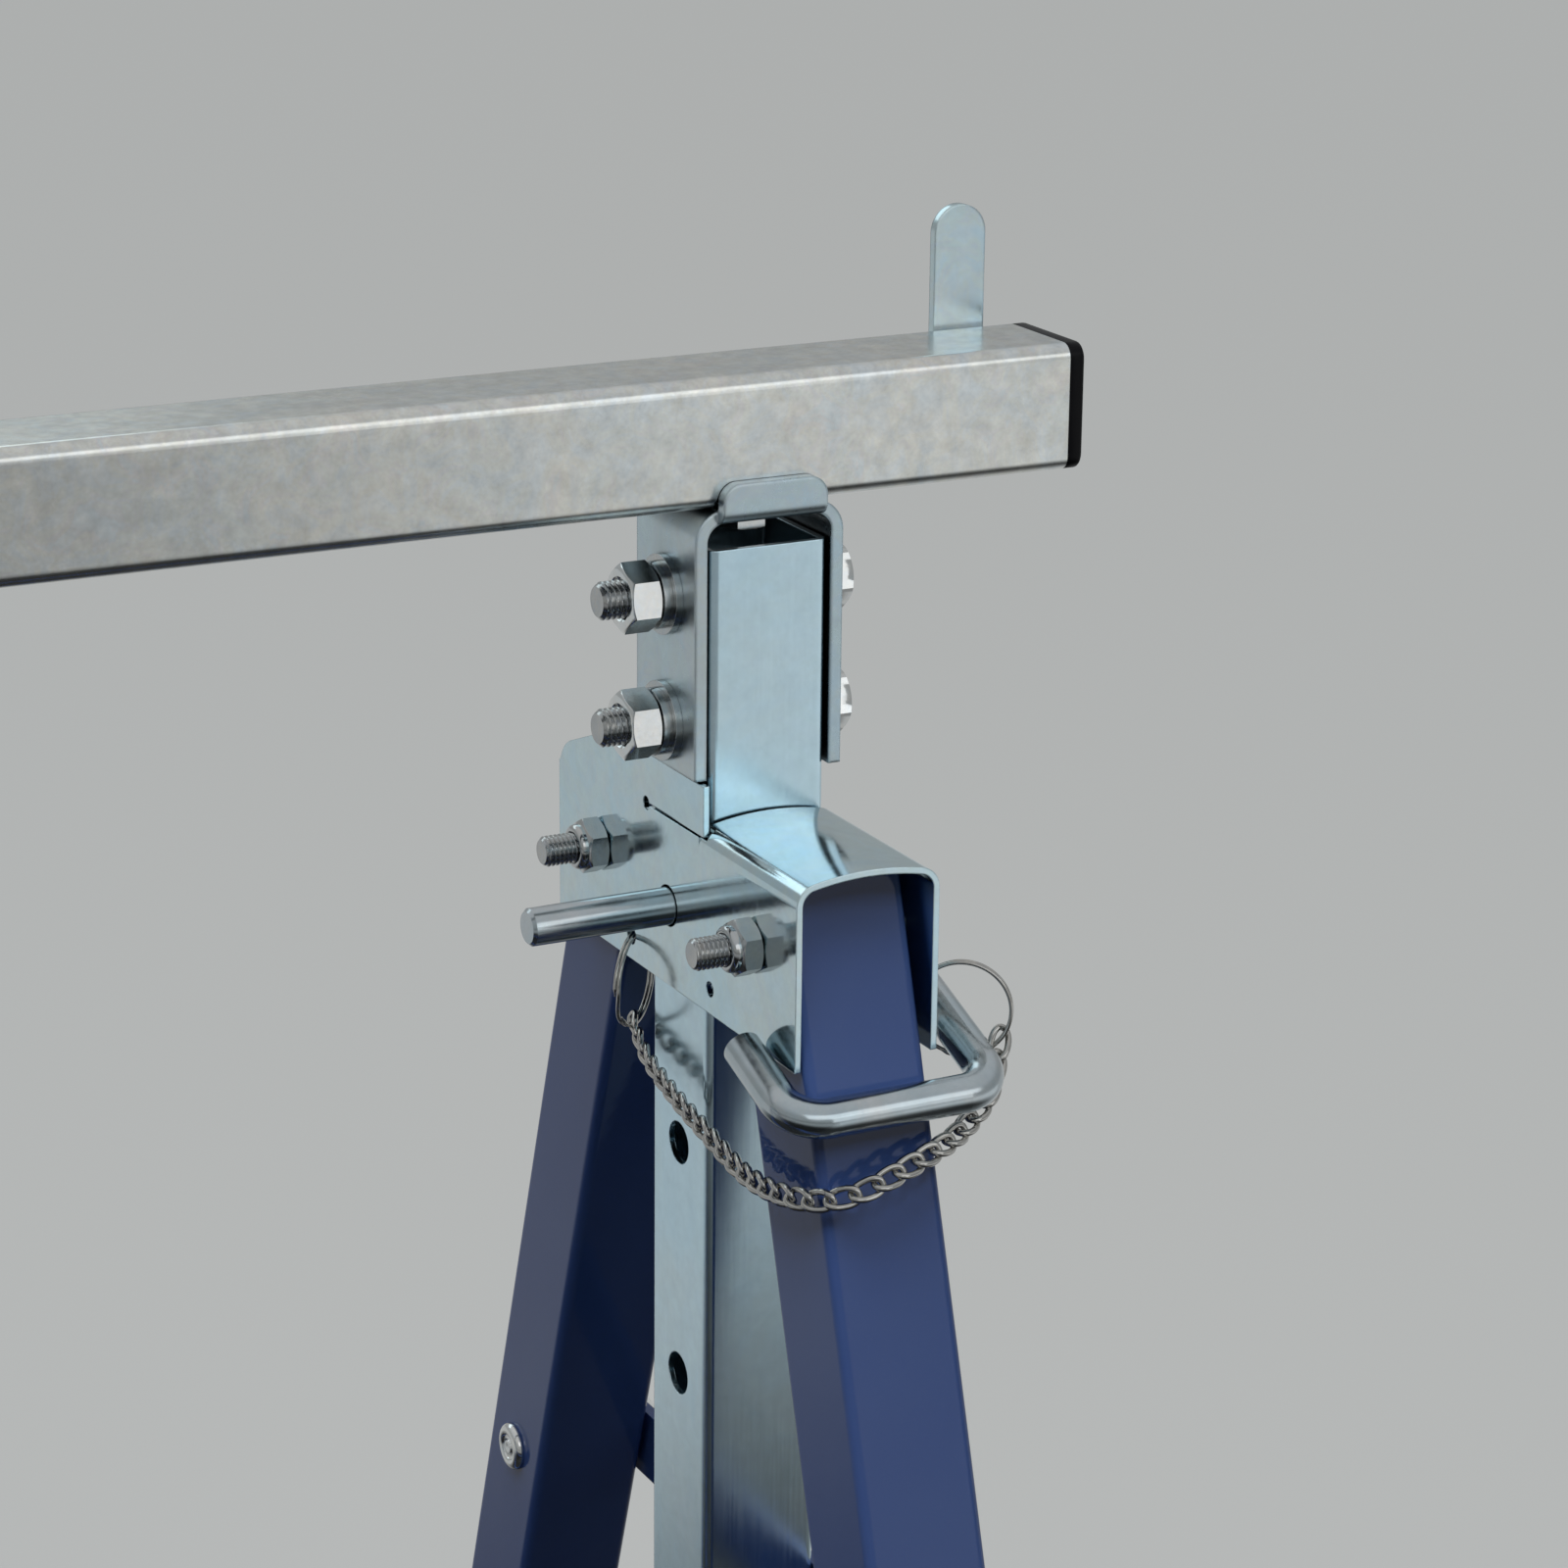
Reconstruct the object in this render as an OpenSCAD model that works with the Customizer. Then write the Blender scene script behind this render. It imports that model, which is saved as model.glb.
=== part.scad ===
// Builders trestle: a folding work support whose beam stands on two height-adjustable posts.
// Millimetres. X runs along the beam, -Y is the front, Z is up.
// The origin is on the floor, under the middle of the beam.

/* [Beam] */
// Height of the beam's top above the floor at the lowest setting
top_height = 820; // [760:1:900]
// Length of the beam tube
beam_len = 1000; // [960:1:1300]
// Width of the square beam tube
beam_size = 40; // [36:1:44]
// Wall of the beam, post and leg tubes
tube_wall = 2; // [1.5:0.5:3]
// Outer corner radius of the beam tube
beam_round = 4.5; // [3:0.5:5]
// Outer corner radius of the other tubes
tube_round = 3; // [2.5:0.5:4]
// Thickness of the plastic end cap outside the tube
cap_lip = 5.5; // [3:0.5:8]
// Depth of the end cap's plug inside the tube
cap_plug = 18; // [10:1:25]

/* [Stop tabs] */
// Width of a stop tab, which is also the diameter of its round top
tab_width = 18; // [14:1:22]
// Thickness of a stop tab
tab_sheet = 3; // [2:0.5:4]
// Height of a stop tab above the beam
tab_rise = 38.5; // [25:0.5:50]
// Distance from the tube's end to the middle of the tab
tab_inset = 17.3; // [14:0.1:30]

/* [Posts] */
// Distance from the beam tube's end to a post's axis
beam_overhang = 104; // [95:1:180]
// Width of a square post tube
post_size = 40; // [38:1:41]
// Number of height settings
settings = 7; // [4:1:7]
// Distance between neighbouring height holes
hole_pitch = 80; // [60:1:85]
// Diameter of a height hole
hole_d = 14; // [13:0.5:16]
// Length of post below its lowest height hole
post_tail = 30; // [20:1:40]

/* [Saddles] */
// Thickness of the saddle's sheet
saddle_sheet = 4; // [3:0.5:5]
// Side clearance between saddle and post
saddle_gap = 1; // [0.5:0.1:1.2]
// Outer radius of the saddle's bends
saddle_bend = 10; // [7:0.5:11]
// Width of the lips that hold the beam
lip_width = 35; // [26:1:36]
// Height of the lips above the beam's underside
lip_rise = 8.5; // [7:0.5:10]
// Diameter of the saddle bolts
saddle_bolt_d = 12; // [10:1:12]
// Distance from the beam's underside to the upper saddle bolt
saddle_bolt_drop = 29.5; // [28:0.5:34]
// Distance between the two saddle bolts
saddle_bolt_pitch = 40; // [32:0.5:48]
// Length of saddle below its lower bolt
saddle_tail = 14.5; // [13:0.5:20]
// Diameter of the bolt that holds the beam in its saddle
fix_bolt_d = 10; // [8:1:10]

/* [Heads] */
// Thickness of the head's sheet
head_sheet = 2; // [1.5:0.25:3]
// Inside width between the head's walls
head_inside = 44; // [43.5:0.5:46]
// Reach of the head in front of the post's axis
head_front = 86; // [84:1:90]
// Reach of the head behind the post's axis
head_rear = 81; // [78:1:90]
// Height of the ears above the lock pin
ear_rise = 45.5; // [43:0.5:50]
// Height of the arch's crown above the lock pin
crown_rise = 34.2; // [33:0.2:36]
// Radius of the crown
crown_radius = 91; // [70:1:140]
// Outer radius of the arch's shoulders
shoulder_radius = 7; // [6:0.5:9]
// Depth of the walls below the lock pin
head_drop = 26; // [25:1:30]
// Distance of the split ring's hole behind the post's axis
ring_hole_y = 26.5; // [26:0.1:27]
// Diameter of the split ring's hole
ring_hole_d = 6.4; // [6:0.1:7]

/* [Lock pins] */
// Diameter of the lock pin's rod
pin_d = 12; // [10:0.5:12]
// Clearance round the lock pin in the head's walls
pin_gap = 0.7; // [0.3:0.1:0.9]
// Length of rod beyond the head's inner wall
pin_reach = 48; // [35:1:60]
// Radius of the rod's bends, along its middle
pin_bend = 12; // [10:0.5:13]
// Distance of the handle's outer arm from the post's axis
handle_out = 38; // [37.5:0.5:44]
// Drop of the handle's front bar below the rod
handle_drop = 36; // [33:0.5:38]

/* [Legs] */
// Width of a square leg tube
leg_size = 40; // [36:1:40]
// Distance between the front and rear legs on the floor
foot_spread = 515; // [450:5:560]
// Distance of the front leg bolts from the post's axis
front_pivot = 58; // [57:0.5:59]
// Distance of the rear leg bolts from the post's axis
rear_pivot = 50; // [48:0.5:54]
// Height of the leg bolts above the lock pin
pivot_rise = 5.5; // [5:0.5:7]
// Diameter of the leg bolts
leg_bolt_d = 10; // [8:1:10]
// Length of leg above its bolt
leg_top = 16.5; // [13:0.5:16.5]
// Shift of the legs towards the nut side of the head
leg_shift = 1.3; // [0:0.1:1.4]
// Width of the square cross tubes
cross_size = 30; // [20:1:36]
// Height of the cross tubes above the floor
cross_height = 230; // [150:5:330]
// Thickness of a foot's wall
foot_wall = 3; // [2:0.5:5]
// Thickness of a foot's sole
foot_sole = 8; // [5:0.5:14]
// Height of a foot's sleeve around the leg
foot_sleeve = 34; // [20:1:60]

/* [Stays] */
// Width of a stay's flat bar
stay_width = 25; // [20:1:30]
// Thickness of a stay's flat bar
stay_sheet = 4; // [3:0.5:6]
// Drop of the stays' pivots below the lock pin
stay_drop = 242; // [200:1:300]
// Diameter of the stays' pivot bolts
stay_bolt_d = 8; // [6:1:10]
// Diameter of the studs that the stays hook on
stud_d = 10; // [9:0.5:12]
// Depth of a stay's hook below its bar
hook_depth = 17.5; // [14:0.5:22]
// Width of a stay's hook
hook_width = 12; // [9:0.5:16]

/* [Chain] */
// Diameter of a chain link's wire
link_wire = 1.8; // [1.6:0.1:1.9]
// Inside length of a chain link
link_inside = 8.3; // [8:0.1:9]
// Inside width of a chain link
link_gap = 3.2; // [3:0.1:3.6]
// Diameter of a split ring's wire, which is wound twice
ring_wire = 1.3; // [1:0.1:1.4]
// Radius of a split ring, at the middle of its wire
ring_radius = 15; // [14.5:0.25:15.5]

/* [Hidden] */
$fn = 48;

// Clearances
bolt_gap = 0.3;
thread_gap = 0.1;
slide_gap = 0.3;
ear_gap = 0.5;
head_clear = 2.1;
relief_gap = 1;
stay_gap = 0.4;
slack = 0.4;
end_slack = 2.1;
overlap = 0.05;
far = 400;

// Colours, as seen
zinc = [0.72, 0.78, 0.80];
nickel = [0.70, 0.68, 0.63];
blue_paint = [0.16, 0.18, 0.34];
black_plastic = [0.06, 0.06, 0.065];

// Hexagon sizes follow the thread's diameter
function across_flats(d) = 1.6 * d;
function head_height(d) = 0.64 * d;
function nut_height(d) = 0.86 * d;

// Heights are measured from the beam's underside, which is the zero of each side's own frame
post_x = beam_len / 2 - beam_overhang;
beam_under = top_height - beam_size;
saddle_half = post_size / 2 + saddle_gap + saddle_sheet;
saddle_end = -(saddle_bolt_drop + saddle_bolt_pitch + saddle_tail);
saddle_bolt_z = [-saddle_bolt_drop, -saddle_bolt_drop - saddle_bolt_pitch];
post_top = -(saddle_sheet + head_height(fix_bolt_d) + head_clear);
pin_z = saddle_end - ear_gap - ear_rise;
post_end = pin_z - hole_pitch * (settings - 1) - post_tail;
head_half = head_inside / 2 + head_sheet;
pivot_z = pin_z + pivot_rise;
floor_z = -beam_under;
leg_drop = pivot_z - floor_z;
tube_end_x = beam_overhang;

// Legs: splay from the upright, length from the bolt to the floor, faces along X
front_splay = atan((foot_spread / 2 - front_pivot) / leg_drop);
rear_splay = atan((foot_spread / 2 - rear_pivot) / leg_drop);
leg_inner_x = -leg_shift - leg_size / 2;
leg_outer_x = -leg_shift + leg_size / 2;
cross_half = post_x + leg_inner_x;
function leg_axis_y(z) = -front_pivot - (pivot_z - z) * tan(front_splay);
function leg_face_y(z) = leg_axis_y(z) - leg_size / 2 / cos(front_splay);

// Lock pin: the front bar lies before the front leg, and the hook ends short of the leg's nut
bar_gap = 1.6;
hook_clear = 2;
pin_bar_z = pin_z - handle_drop;
pin_bar_y = leg_face_y(pin_bar_z) - (pin_d / 2 + bar_gap) / cos(front_splay);
pin_end_x = -head_half - pin_reach;
handle_in = -head_half - pin_d / 2 - hook_clear / 2;
handle_slope = atan(handle_drop / -pin_bar_y);
handle_reach = round(100 * norm([pin_bar_y, handle_drop])) / 100;
hook_end = norm([front_pivot, pivot_rise]) + across_flats(leg_bolt_d) / cos(30) / 2 + hook_clear;

// Stays: each pivots on a rear leg and lies on a stud of the front leg
stay_z = pin_z - stay_drop;
stay_rear_y = rear_pivot + (pivot_z - stay_z) * tan(rear_splay);
stud_z = stay_z - stay_width / 2 - slide_gap - stud_d / 2;
stud_y = leg_axis_y(stud_z);
stay_x = max(leg_outer_x, post_size / 2) + 2 * slide_gap;

// Split rings: one hangs in the head's wall, the other lies round the handle's outer arm
ring_inner = ring_radius - ring_wire / 2;
ring_turn = 43;
ring_hole_z = pin_z - 18;
spare_hole_y = -29.5;
spare_hole_d = 5;
wall_mid_x = -head_half + head_sheet / 2;
plate_ring_z = ring_hole_z - ring_radius;
arm_ring_run = 79;
arm_ring_turn = -35;
arm_ring_at = [
    handle_out + 1.5,
    -arm_ring_run * cos(handle_slope),
    pin_z - arm_ring_run * sin(handle_slope) + ring_inner - 0.55 * pin_d - slide_gap];

// The chain hangs from ring to ring: along the head's inner wall, then round the front leg.
// Its route is drawn for rings of 15 mm radius and grows with them.
route = ring_radius / 15;
chain_x = -head_half - 4 * route;
chain_hold = -38;
function route_x(x) = chain_x + x * route;
function route_z(drop) = pin_z - drop * route;
function before_leg(drop, gap) = leg_face_y(route_z(drop)) - gap * route;
function ring_point(turn, hold) = [cos(turn) * cos(hold), sin(turn) * cos(hold), sin(hold)];
chain_start = [wall_mid_x, ring_hole_y, plate_ring_z - ring_radius];
chain_end = arm_ring_at + ring_radius * ring_point(arm_ring_turn, chain_hold);
chain_points = [
    chain_start,
    [route_x(3.5), ring_hole_y - 7.5 * route, route_z(51.5)],
    [route_x(2), 9 * route, route_z(54.5)],
    [route_x(0.5), -12 * route, route_z(58.5)],
    [route_x(0), -34 * route, route_z(62)],
    [route_x(0), -55 * route, route_z(65.5)],
    [route_x(-0.5), -70 * route, route_z(65.5)],
    [route_x(-0.3), -82 * route, route_z(64.2)],
    [route_x(1.2), before_leg(62.6, -7.1), route_z(62.6)],
    [route_x(5), before_leg(60.8, 2.4), route_z(60.8)],
    [route_x(11.5), before_leg(58.5, 8.8), route_z(58.5)],
    [route_x(20), before_leg(55.5, 11.7), route_z(55.5)],
    [route_x(30), before_leg(52.5, 11.7), route_z(52.5)],
    [route_x(40), before_leg(50.5, 9.5), route_z(50.5)],
    [leg_outer_x + 3.3 * route, before_leg(49.5, 4.9), route_z(49.5)],
    [handle_out - 6 * route, pin_bar_y + 5.5 * route, route_z(47.5)],
    [handle_out + 4 * route, pin_bar_y + 12 * route, route_z(42)],
    chain_end];

// Placing: each side is modelled once, with +X pointing to the beam's end

module right_hand() {
    translate([post_x, 0, beam_under]) children();
}

module left_hand() {
    mirror([1, 0, 0]) right_hand() children();
}

module both_hands() {
    right_hand() children();
    left_hand() children();
}

// Leg frames: origin on the leg bolt, Z up along the leg
module front_leg_frame(x = -leg_shift) {
    translate([x, -front_pivot, pivot_z]) rotate([-front_splay, 0, 0]) children();
}

module rear_leg_frame(x = -leg_shift) {
    translate([x, rear_pivot, pivot_z]) rotate([rear_splay, 0, 0]) children();
}

// Points a solid that is drawn along Z towards +X or towards +Y
module along_x() {
    rotate([0, 90, 0]) children();
}

module along_y() {
    rotate([-90, 0, 0]) children();
}

// Extrudes a profile drawn in (Y, Z) along X, from x0 to x1
module side_sheet(x0, x1) {
    translate([x0, 0, 0]) rotate([90, 0, 90]) linear_extrude(x1 - x0) children();
}

// Extrudes a profile drawn in (X, Z) along Y, from y0 to y1
module front_sheet(y0, y1) {
    translate([0, y1, 0]) rotate([90, 0, 0]) linear_extrude(y1 - y0) children();
}

// Shared shapes

module rounded_rect(w, h, r) {
    square([w - 2 * r, h], center = true);
    square([w, h - 2 * r], center = true);
    for (sx = [-1, 1], sy = [-1, 1]) translate([sx * (w / 2 - r), sy * (h / 2 - r)]) circle(r);
}

// Square tube along Z, from z = 0 up
module box_tube(size, length, corner = tube_round) {
    inner = size - 2 * tube_wall;
    linear_extrude(length) difference() {
        rounded_rect(size, size, corner);
        rounded_rect(inner, inner, max(corner - tube_wall, 0.5));
    }
}

module ring_plate(outer_d, inner_d, height) {
    difference() {
        cylinder(d = outer_d, h = height);
        translate([0, 0, -1]) cylinder(d = inner_d, h = height + 2);
    }
}

// Hexagon with its corners turned down at the top
module hexagon(d, height) {
    flats = across_flats(d);
    corner = flats / cos(30);
    turned = (corner - flats) / 2;
    intersection() {
        cylinder(d = corner, h = height, $fn = 6);
        union() {
            cylinder(d = corner + 1, h = height - turned / 2);
            translate([0, 0, height - turned / 2 - overlap])
                cylinder(d1 = corner + 0.2, d2 = flats - 0.4, h = turned / 2 + overlap);
        }
    }
}

// Bolt whose head sits on z = 0 and points up, with the shank below
module hex_bolt(d, length) {
    hexagon(d, head_height(d));
    tip = d / 10;
    translate([0, 0, -length + tip]) cylinder(d = d, h = length - tip + overlap);
    translate([0, 0, -length]) cylinder(d1 = d - 2 * tip, d2 = d, h = tip);
}

module hex_nut(d) {
    difference() {
        hexagon(d, nut_height(d));
        translate([0, 0, -1]) cylinder(d = d + 2 * thread_gap, h = nut_height(d) + 2);
    }
}

// Self-locking nut: a hexagon with a round collar on top
module locking_nut(d) {
    flats = across_flats(d);
    collar = 0.3 * d;
    difference() {
        union() {
            hexagon(d, 0.7 * d);
            cylinder(d = 0.92 * flats, h = 0.7 * d + collar / 2);
            translate([0, 0, 0.7 * d + collar / 2 - overlap])
                cylinder(d1 = 0.92 * flats, d2 = 0.78 * flats, h = collar / 2 + overlap);
        }
        translate([0, 0, -1]) cylinder(d = d + 2 * thread_gap, h = d + 2);
    }
}

// Domed rivet head on z = 0, cut from a sphere
module dome(d, height) {
    sphere_r = (d * d / 4 + height * height) / (2 * height);
    intersection() {
        translate([0, 0, height - sphere_r]) sphere(sphere_r);
        cylinder(d = d, h = height);
    }
}

function unit(v) = v / norm(v);

// Places a solid by its three axes and its origin
module along_axes(x, y, z, at) {
    multmatrix([
        [x[0], y[0], z[0], at[0]],
        [x[1], y[1], z[1], at[1]],
        [x[2], y[2], z[2], at[2]],
        [0, 0, 0, 1]]) children();
}

// Bend of a round rod in the XY plane, counted from +X
module rod_bend(d, radius, start, angle) {
    rotate(start) rotate_extrude(angle = angle) translate([radius, 0]) circle(d = d);
}

// Split ring round Z: two turns of wire, side by side
module split_ring() {
    for (s = [-1, 1]) translate([0, 0, s * (ring_wire / 2 - overlap)])
        rotate_extrude() translate([ring_radius, 0]) circle(d = ring_wire);
}

// Beam and its ends

module top_beam() {
    color(zinc) difference() {
        translate([-beam_len / 2, 0, beam_under + beam_size / 2]) along_x()
            box_tube(beam_size, beam_len, beam_round);
        both_hands() cylinder(d = 1.35 * fix_bolt_d + 2 * bolt_gap, h = 3 * tube_wall, center = true);
    }
}

module beam_cap() {
    plug = beam_size - 2 * tube_wall - 2 * thread_gap;
    plug_round = max(beam_round - tube_wall, 1);
    edge = 1;
    translate([tube_end_x, 0, beam_size / 2]) along_x() {
        hull() {
            linear_extrude(cap_lip - edge) rounded_rect(beam_size, beam_size, beam_round);
            linear_extrude(cap_lip) rounded_rect(beam_size - 2 * edge, beam_size - 2 * edge, beam_round);
        }
        difference() {
            translate([0, 0, -cap_plug]) linear_extrude(cap_plug + overlap)
                rounded_rect(plug, plug, plug_round);
            translate([0, 0, -cap_plug - 1]) linear_extrude(cap_plug)
                rounded_rect(plug - 4, plug - 4, 1);
        }
    }
}

module beam_cap_right() { color(black_plastic) right_hand() beam_cap(); }
module beam_cap_left() { color(black_plastic) left_hand() beam_cap(); }

// Stop tab: a flat bar with a round top, welded to the beam's back
module stop_tab() {
    foot = beam_size / 10;
    round_z = beam_size + tab_rise - tab_width / 2;
    back = beam_size / 2;
    translate([tube_end_x - tab_inset, 0, 0]) front_sheet(back, back + tab_sheet) {
        translate([-tab_width / 2, foot]) square([tab_width, round_z - foot]);
        translate([0, round_z]) circle(d = tab_width);
    }
}

module stop_tab_right() { color(zinc) right_hand() stop_tab(); }
module stop_tab_left() { color(zinc) left_hand() stop_tab(); }

// Saddle: a bent strap that sits on the post and holds the beam between two lips
module saddle_strap(half, top, bend, bottom) {
    translate([-half, bottom]) square([2 * half, top - bend - bottom]);
    translate([-half + bend, bottom]) square([2 * (half - bend), top - bottom]);
    for (s = [-1, 1]) translate([s * (half - bend), top - bend]) circle(bend);
}

module saddle_lip() {
    inner = beam_size / 2 + slide_gap;
    corner = lip_rise * 0.7;
    bend = saddle_sheet;
    intersection() {
        side_sheet(-lip_width / 2, lip_width / 2) {
            translate([-inner - saddle_sheet, -saddle_sheet + bend])
                square([saddle_sheet, lip_rise + saddle_sheet - bend]);
            translate([-inner - saddle_sheet + bend, -saddle_sheet]) square([bend, saddle_sheet]);
            intersection() {
                translate([-inner - saddle_sheet + bend, -saddle_sheet + bend]) circle(bend);
                translate([-inner - saddle_sheet, -saddle_sheet]) square([bend, bend]);
            }
        }
        front_sheet(-beam_size, 0) {
            translate([-lip_width / 2, -saddle_sheet - 1])
                square([lip_width, lip_rise + saddle_sheet + 1 - corner]);
            translate([-lip_width / 2 + corner, -saddle_sheet])
                square([lip_width - 2 * corner, lip_rise + saddle_sheet]);
            for (s = [-1, 1]) translate([s * (lip_width / 2 - corner), lip_rise - corner]) circle(corner);
        }
    }
}

module saddle() {
    depth = beam_size + 2 * slide_gap;
    inner = saddle_half - saddle_sheet;
    difference() {
        union() {
            front_sheet(-depth / 2, depth / 2) difference() {
                saddle_strap(saddle_half, 0, saddle_bend, saddle_end);
                saddle_strap(inner, -saddle_sheet, saddle_bend - saddle_sheet, saddle_end - saddle_sheet);
            }
            saddle_lip();
            mirror([0, 1, 0]) saddle_lip();
        }
        for (z = saddle_bolt_z) translate([0, 0, z])
            along_x() cylinder(d = saddle_bolt_d + 2 * bolt_gap, h = far, center = true);
        cylinder(d = fix_bolt_d + 2 * bolt_gap, h = far, center = true);
    }
}

module saddle_right() { color(zinc) right_hand() saddle(); }
module saddle_left() { color(zinc) left_hand() saddle(); }

module beam_fixing_bolts() {
    grip = saddle_sheet + tube_wall + 1.2 * fix_bolt_d;
    color(zinc) both_hands() translate([0, 0, -saddle_sheet]) mirror([0, 0, 1]) hex_bolt(fix_bolt_d, grip);
}

// Blind nut pressed into the beam's underside
module beam_fixing_nuts() {
    color(zinc) both_hands() difference() {
        union() {
            translate([0, 0, tube_wall]) cylinder(d = 1.7 * fix_bolt_d, h = 0.2 * fix_bolt_d);
            cylinder(d = 1.35 * fix_bolt_d, h = 1.4 * fix_bolt_d);
        }
        translate([0, 0, -1]) cylinder(d = fix_bolt_d + 2 * thread_gap, h = 1.6 * fix_bolt_d);
    }
}

// Post: a tube with a row of height holes, bolted into the saddle
module post() {
    difference() {
        translate([0, 0, post_end]) box_tube(post_size, post_top - post_end);
        for (k = [0 : settings - 1]) translate([0, 0, pin_z - k * hole_pitch])
            along_x() cylinder(d = hole_d, h = 2 * post_size, center = true);
        for (z = saddle_bolt_z) translate([0, 0, z])
            along_x() cylinder(d = saddle_bolt_d + 2 * bolt_gap, h = 2 * post_size, center = true);
    }
}

module post_right() { color(zinc) right_hand() post(); }
module post_left() { color(zinc) left_hand() post(); }

// Saddle hardware: a flat washer under the head, then on the inner face flat washer, spring washer and nut
flat_washer = 0.2 * saddle_bolt_d;
spring_washer = 0.24 * saddle_bolt_d;
saddle_stack = flat_washer + spring_washer + nut_height(saddle_bolt_d);
saddle_thread = 7.5;

// Angles at which the saddle's heads and nuts stop when they are tight
head_turn = 42;
nut_turn = 7;

module at_saddle_bolts() {
    both_hands() for (z = saddle_bolt_z) translate([0, 0, z]) children();
}

// Turns a stack that is drawn along Z so that it leaves the inner face at distance x
module inner_stack(x) {
    translate([-x, 0, 0]) rotate([0, -90, 0]) children();
}

module saddle_bolts() {
    color(zinc) at_saddle_bolts() translate([saddle_half + flat_washer, 0, 0]) along_x() rotate(head_turn)
        hex_bolt(saddle_bolt_d, 2 * saddle_half + flat_washer + saddle_stack + saddle_thread);
}

module saddle_flat_washers() {
    color(zinc) at_saddle_bolts() for (x = [-saddle_half - flat_washer, saddle_half])
        translate([x, 0, 0]) along_x()
            ring_plate(2.08 * saddle_bolt_d, saddle_bolt_d + 2 * bolt_gap, flat_washer);
}

module saddle_spring_washers() {
    color(zinc) at_saddle_bolts() inner_stack(saddle_half + flat_washer) difference() {
        ring_plate(1.75 * saddle_bolt_d, saddle_bolt_d + 2 * bolt_gap, spring_washer);
        translate([saddle_bolt_d * 0.7, 0, spring_washer / 2]) rotate([25, 0, 0])
            cube([saddle_bolt_d, 0.6, 3 * spring_washer], center = true);
    }
}

module saddle_nuts() {
    color(zinc) at_saddle_bolts() inner_stack(saddle_half + flat_washer + spring_washer) rotate(nut_turn)
        hex_nut(saddle_bolt_d);
}

// Head: one sheet folded into an arch over the front leg and two ears beside the rear leg

// Front view of the arch, filled; the shoulders touch the crown and the walls smoothly
module arch_area(half, crown, radius, shoulder, bottom) {
    centre_z = crown - radius;
    shoulder_x = half - shoulder;
    shoulder_z = centre_z + sqrt(pow(radius - shoulder, 2) - pow(shoulder_x, 2));
    reach = 2 * radius / (radius - shoulder);
    translate([-half, bottom]) square([2 * half, shoulder_z - bottom]);
    for (s = [-1, 1]) translate([s * shoulder_x, shoulder_z]) circle(shoulder);
    intersection() {
        translate([0, centre_z]) circle(radius, $fn = 180);
        polygon([
            [0, centre_z],
            [reach * shoulder_x, centre_z + reach * (shoulder_z - centre_z)],
            [-reach * shoulder_x, centre_z + reach * (shoulder_z - centre_z)]]);
        translate([-half, bottom]) square([2 * half, far]);
    }
}

head_bottom = pin_z - head_drop;
head_crown = pin_z + crown_rise;
wall_top = head_crown - shoulder_radius - 1.8;
ear_top = pin_z + ear_rise;
slit_z = pin_z + 29;
slit_end_y = 15.7;
slit_width = 1;
arch_end_y = -post_size / 2 - slide_gap - relief_gap;
tongue_front_y = -post_size / 2 - 4.5;
ear_front_y = post_size / 2 + 2;
ear_flat_y = 42;
ear_slope = 21;
ear_corner = 14;

// Side view of an ear: flat top, then a slope and a rounded rear corner
module ear_area(front_y) {
    corner_y = head_rear - ear_corner;
    corner_z = ear_top - (corner_y - ear_flat_y) * tan(ear_slope) - ear_corner / cos(ear_slope);
    polygon([
        [front_y, head_bottom],
        [head_rear, head_bottom],
        [head_rear, corner_z],
        [corner_y + ear_corner * sin(ear_slope), corner_z + ear_corner * cos(ear_slope)],
        [ear_flat_y, ear_top],
        [front_y, ear_top]]);
    translate([corner_y, corner_z]) circle(ear_corner);
}

module wall_holes() {
    translate([0, pin_z]) circle(d = pin_d + 2 * pin_gap);
    translate([-front_pivot, pivot_z]) circle(d = leg_bolt_d + 2 * bolt_gap);
    translate([rear_pivot, pivot_z]) circle(d = leg_bolt_d + 2 * bolt_gap);
}

// Inner wall: its ear runs forward as a tongue beside the post, cut free by a slit
module inner_wall_area() {
    difference() {
        union() {
            translate([arch_end_y, head_bottom]) square([head_rear - arch_end_y, wall_top - head_bottom]);
            ear_area(slit_end_y);
            translate([tongue_front_y, slit_z + slit_width / 2])
                square([slit_end_y - tongue_front_y + overlap, ear_top - slit_z - slit_width / 2]);
            translate([arch_end_y, wall_top - overlap])
                square([slit_end_y - arch_end_y + overlap, slit_z - slit_width / 2 - wall_top + overlap]);
        }
        translate([slit_end_y, slit_z]) circle(d = 4.5);
        wall_holes();
        translate([ring_hole_y, ring_hole_z]) circle(d = ring_hole_d);
    }
}

module outer_wall_area() {
    difference() {
        union() {
            translate([arch_end_y, head_bottom]) square([head_rear - arch_end_y, wall_top - head_bottom]);
            ear_area(ear_front_y);
        }
        wall_holes();
    }
}

module head() {
    inside = head_inside / 2;
    difference() {
        front_sheet(-head_front, arch_end_y) difference() {
            arch_area(head_half, head_crown, crown_radius, shoulder_radius, head_bottom);
            arch_area(inside, head_crown - head_sheet, crown_radius - head_sheet,
                      shoulder_radius - head_sheet, head_bottom - 1);
        }
        side_sheet(-far, far) wall_holes();
        side_sheet(-far, 0) translate([spare_hole_y, ring_hole_z]) circle(d = spare_hole_d);
        translate([-head_half - 1, tongue_front_y - relief_gap, slit_z - slit_width / 2])
            cube([head_half - inside + 3, far, far]);
    }
    side_sheet(-head_half, -inside) inner_wall_area();
    side_sheet(inside, head_half) outer_wall_area();
}

module head_right() { color(zinc) right_hand() head(); }
module head_left() { color(zinc) left_hand() head(); }

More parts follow.
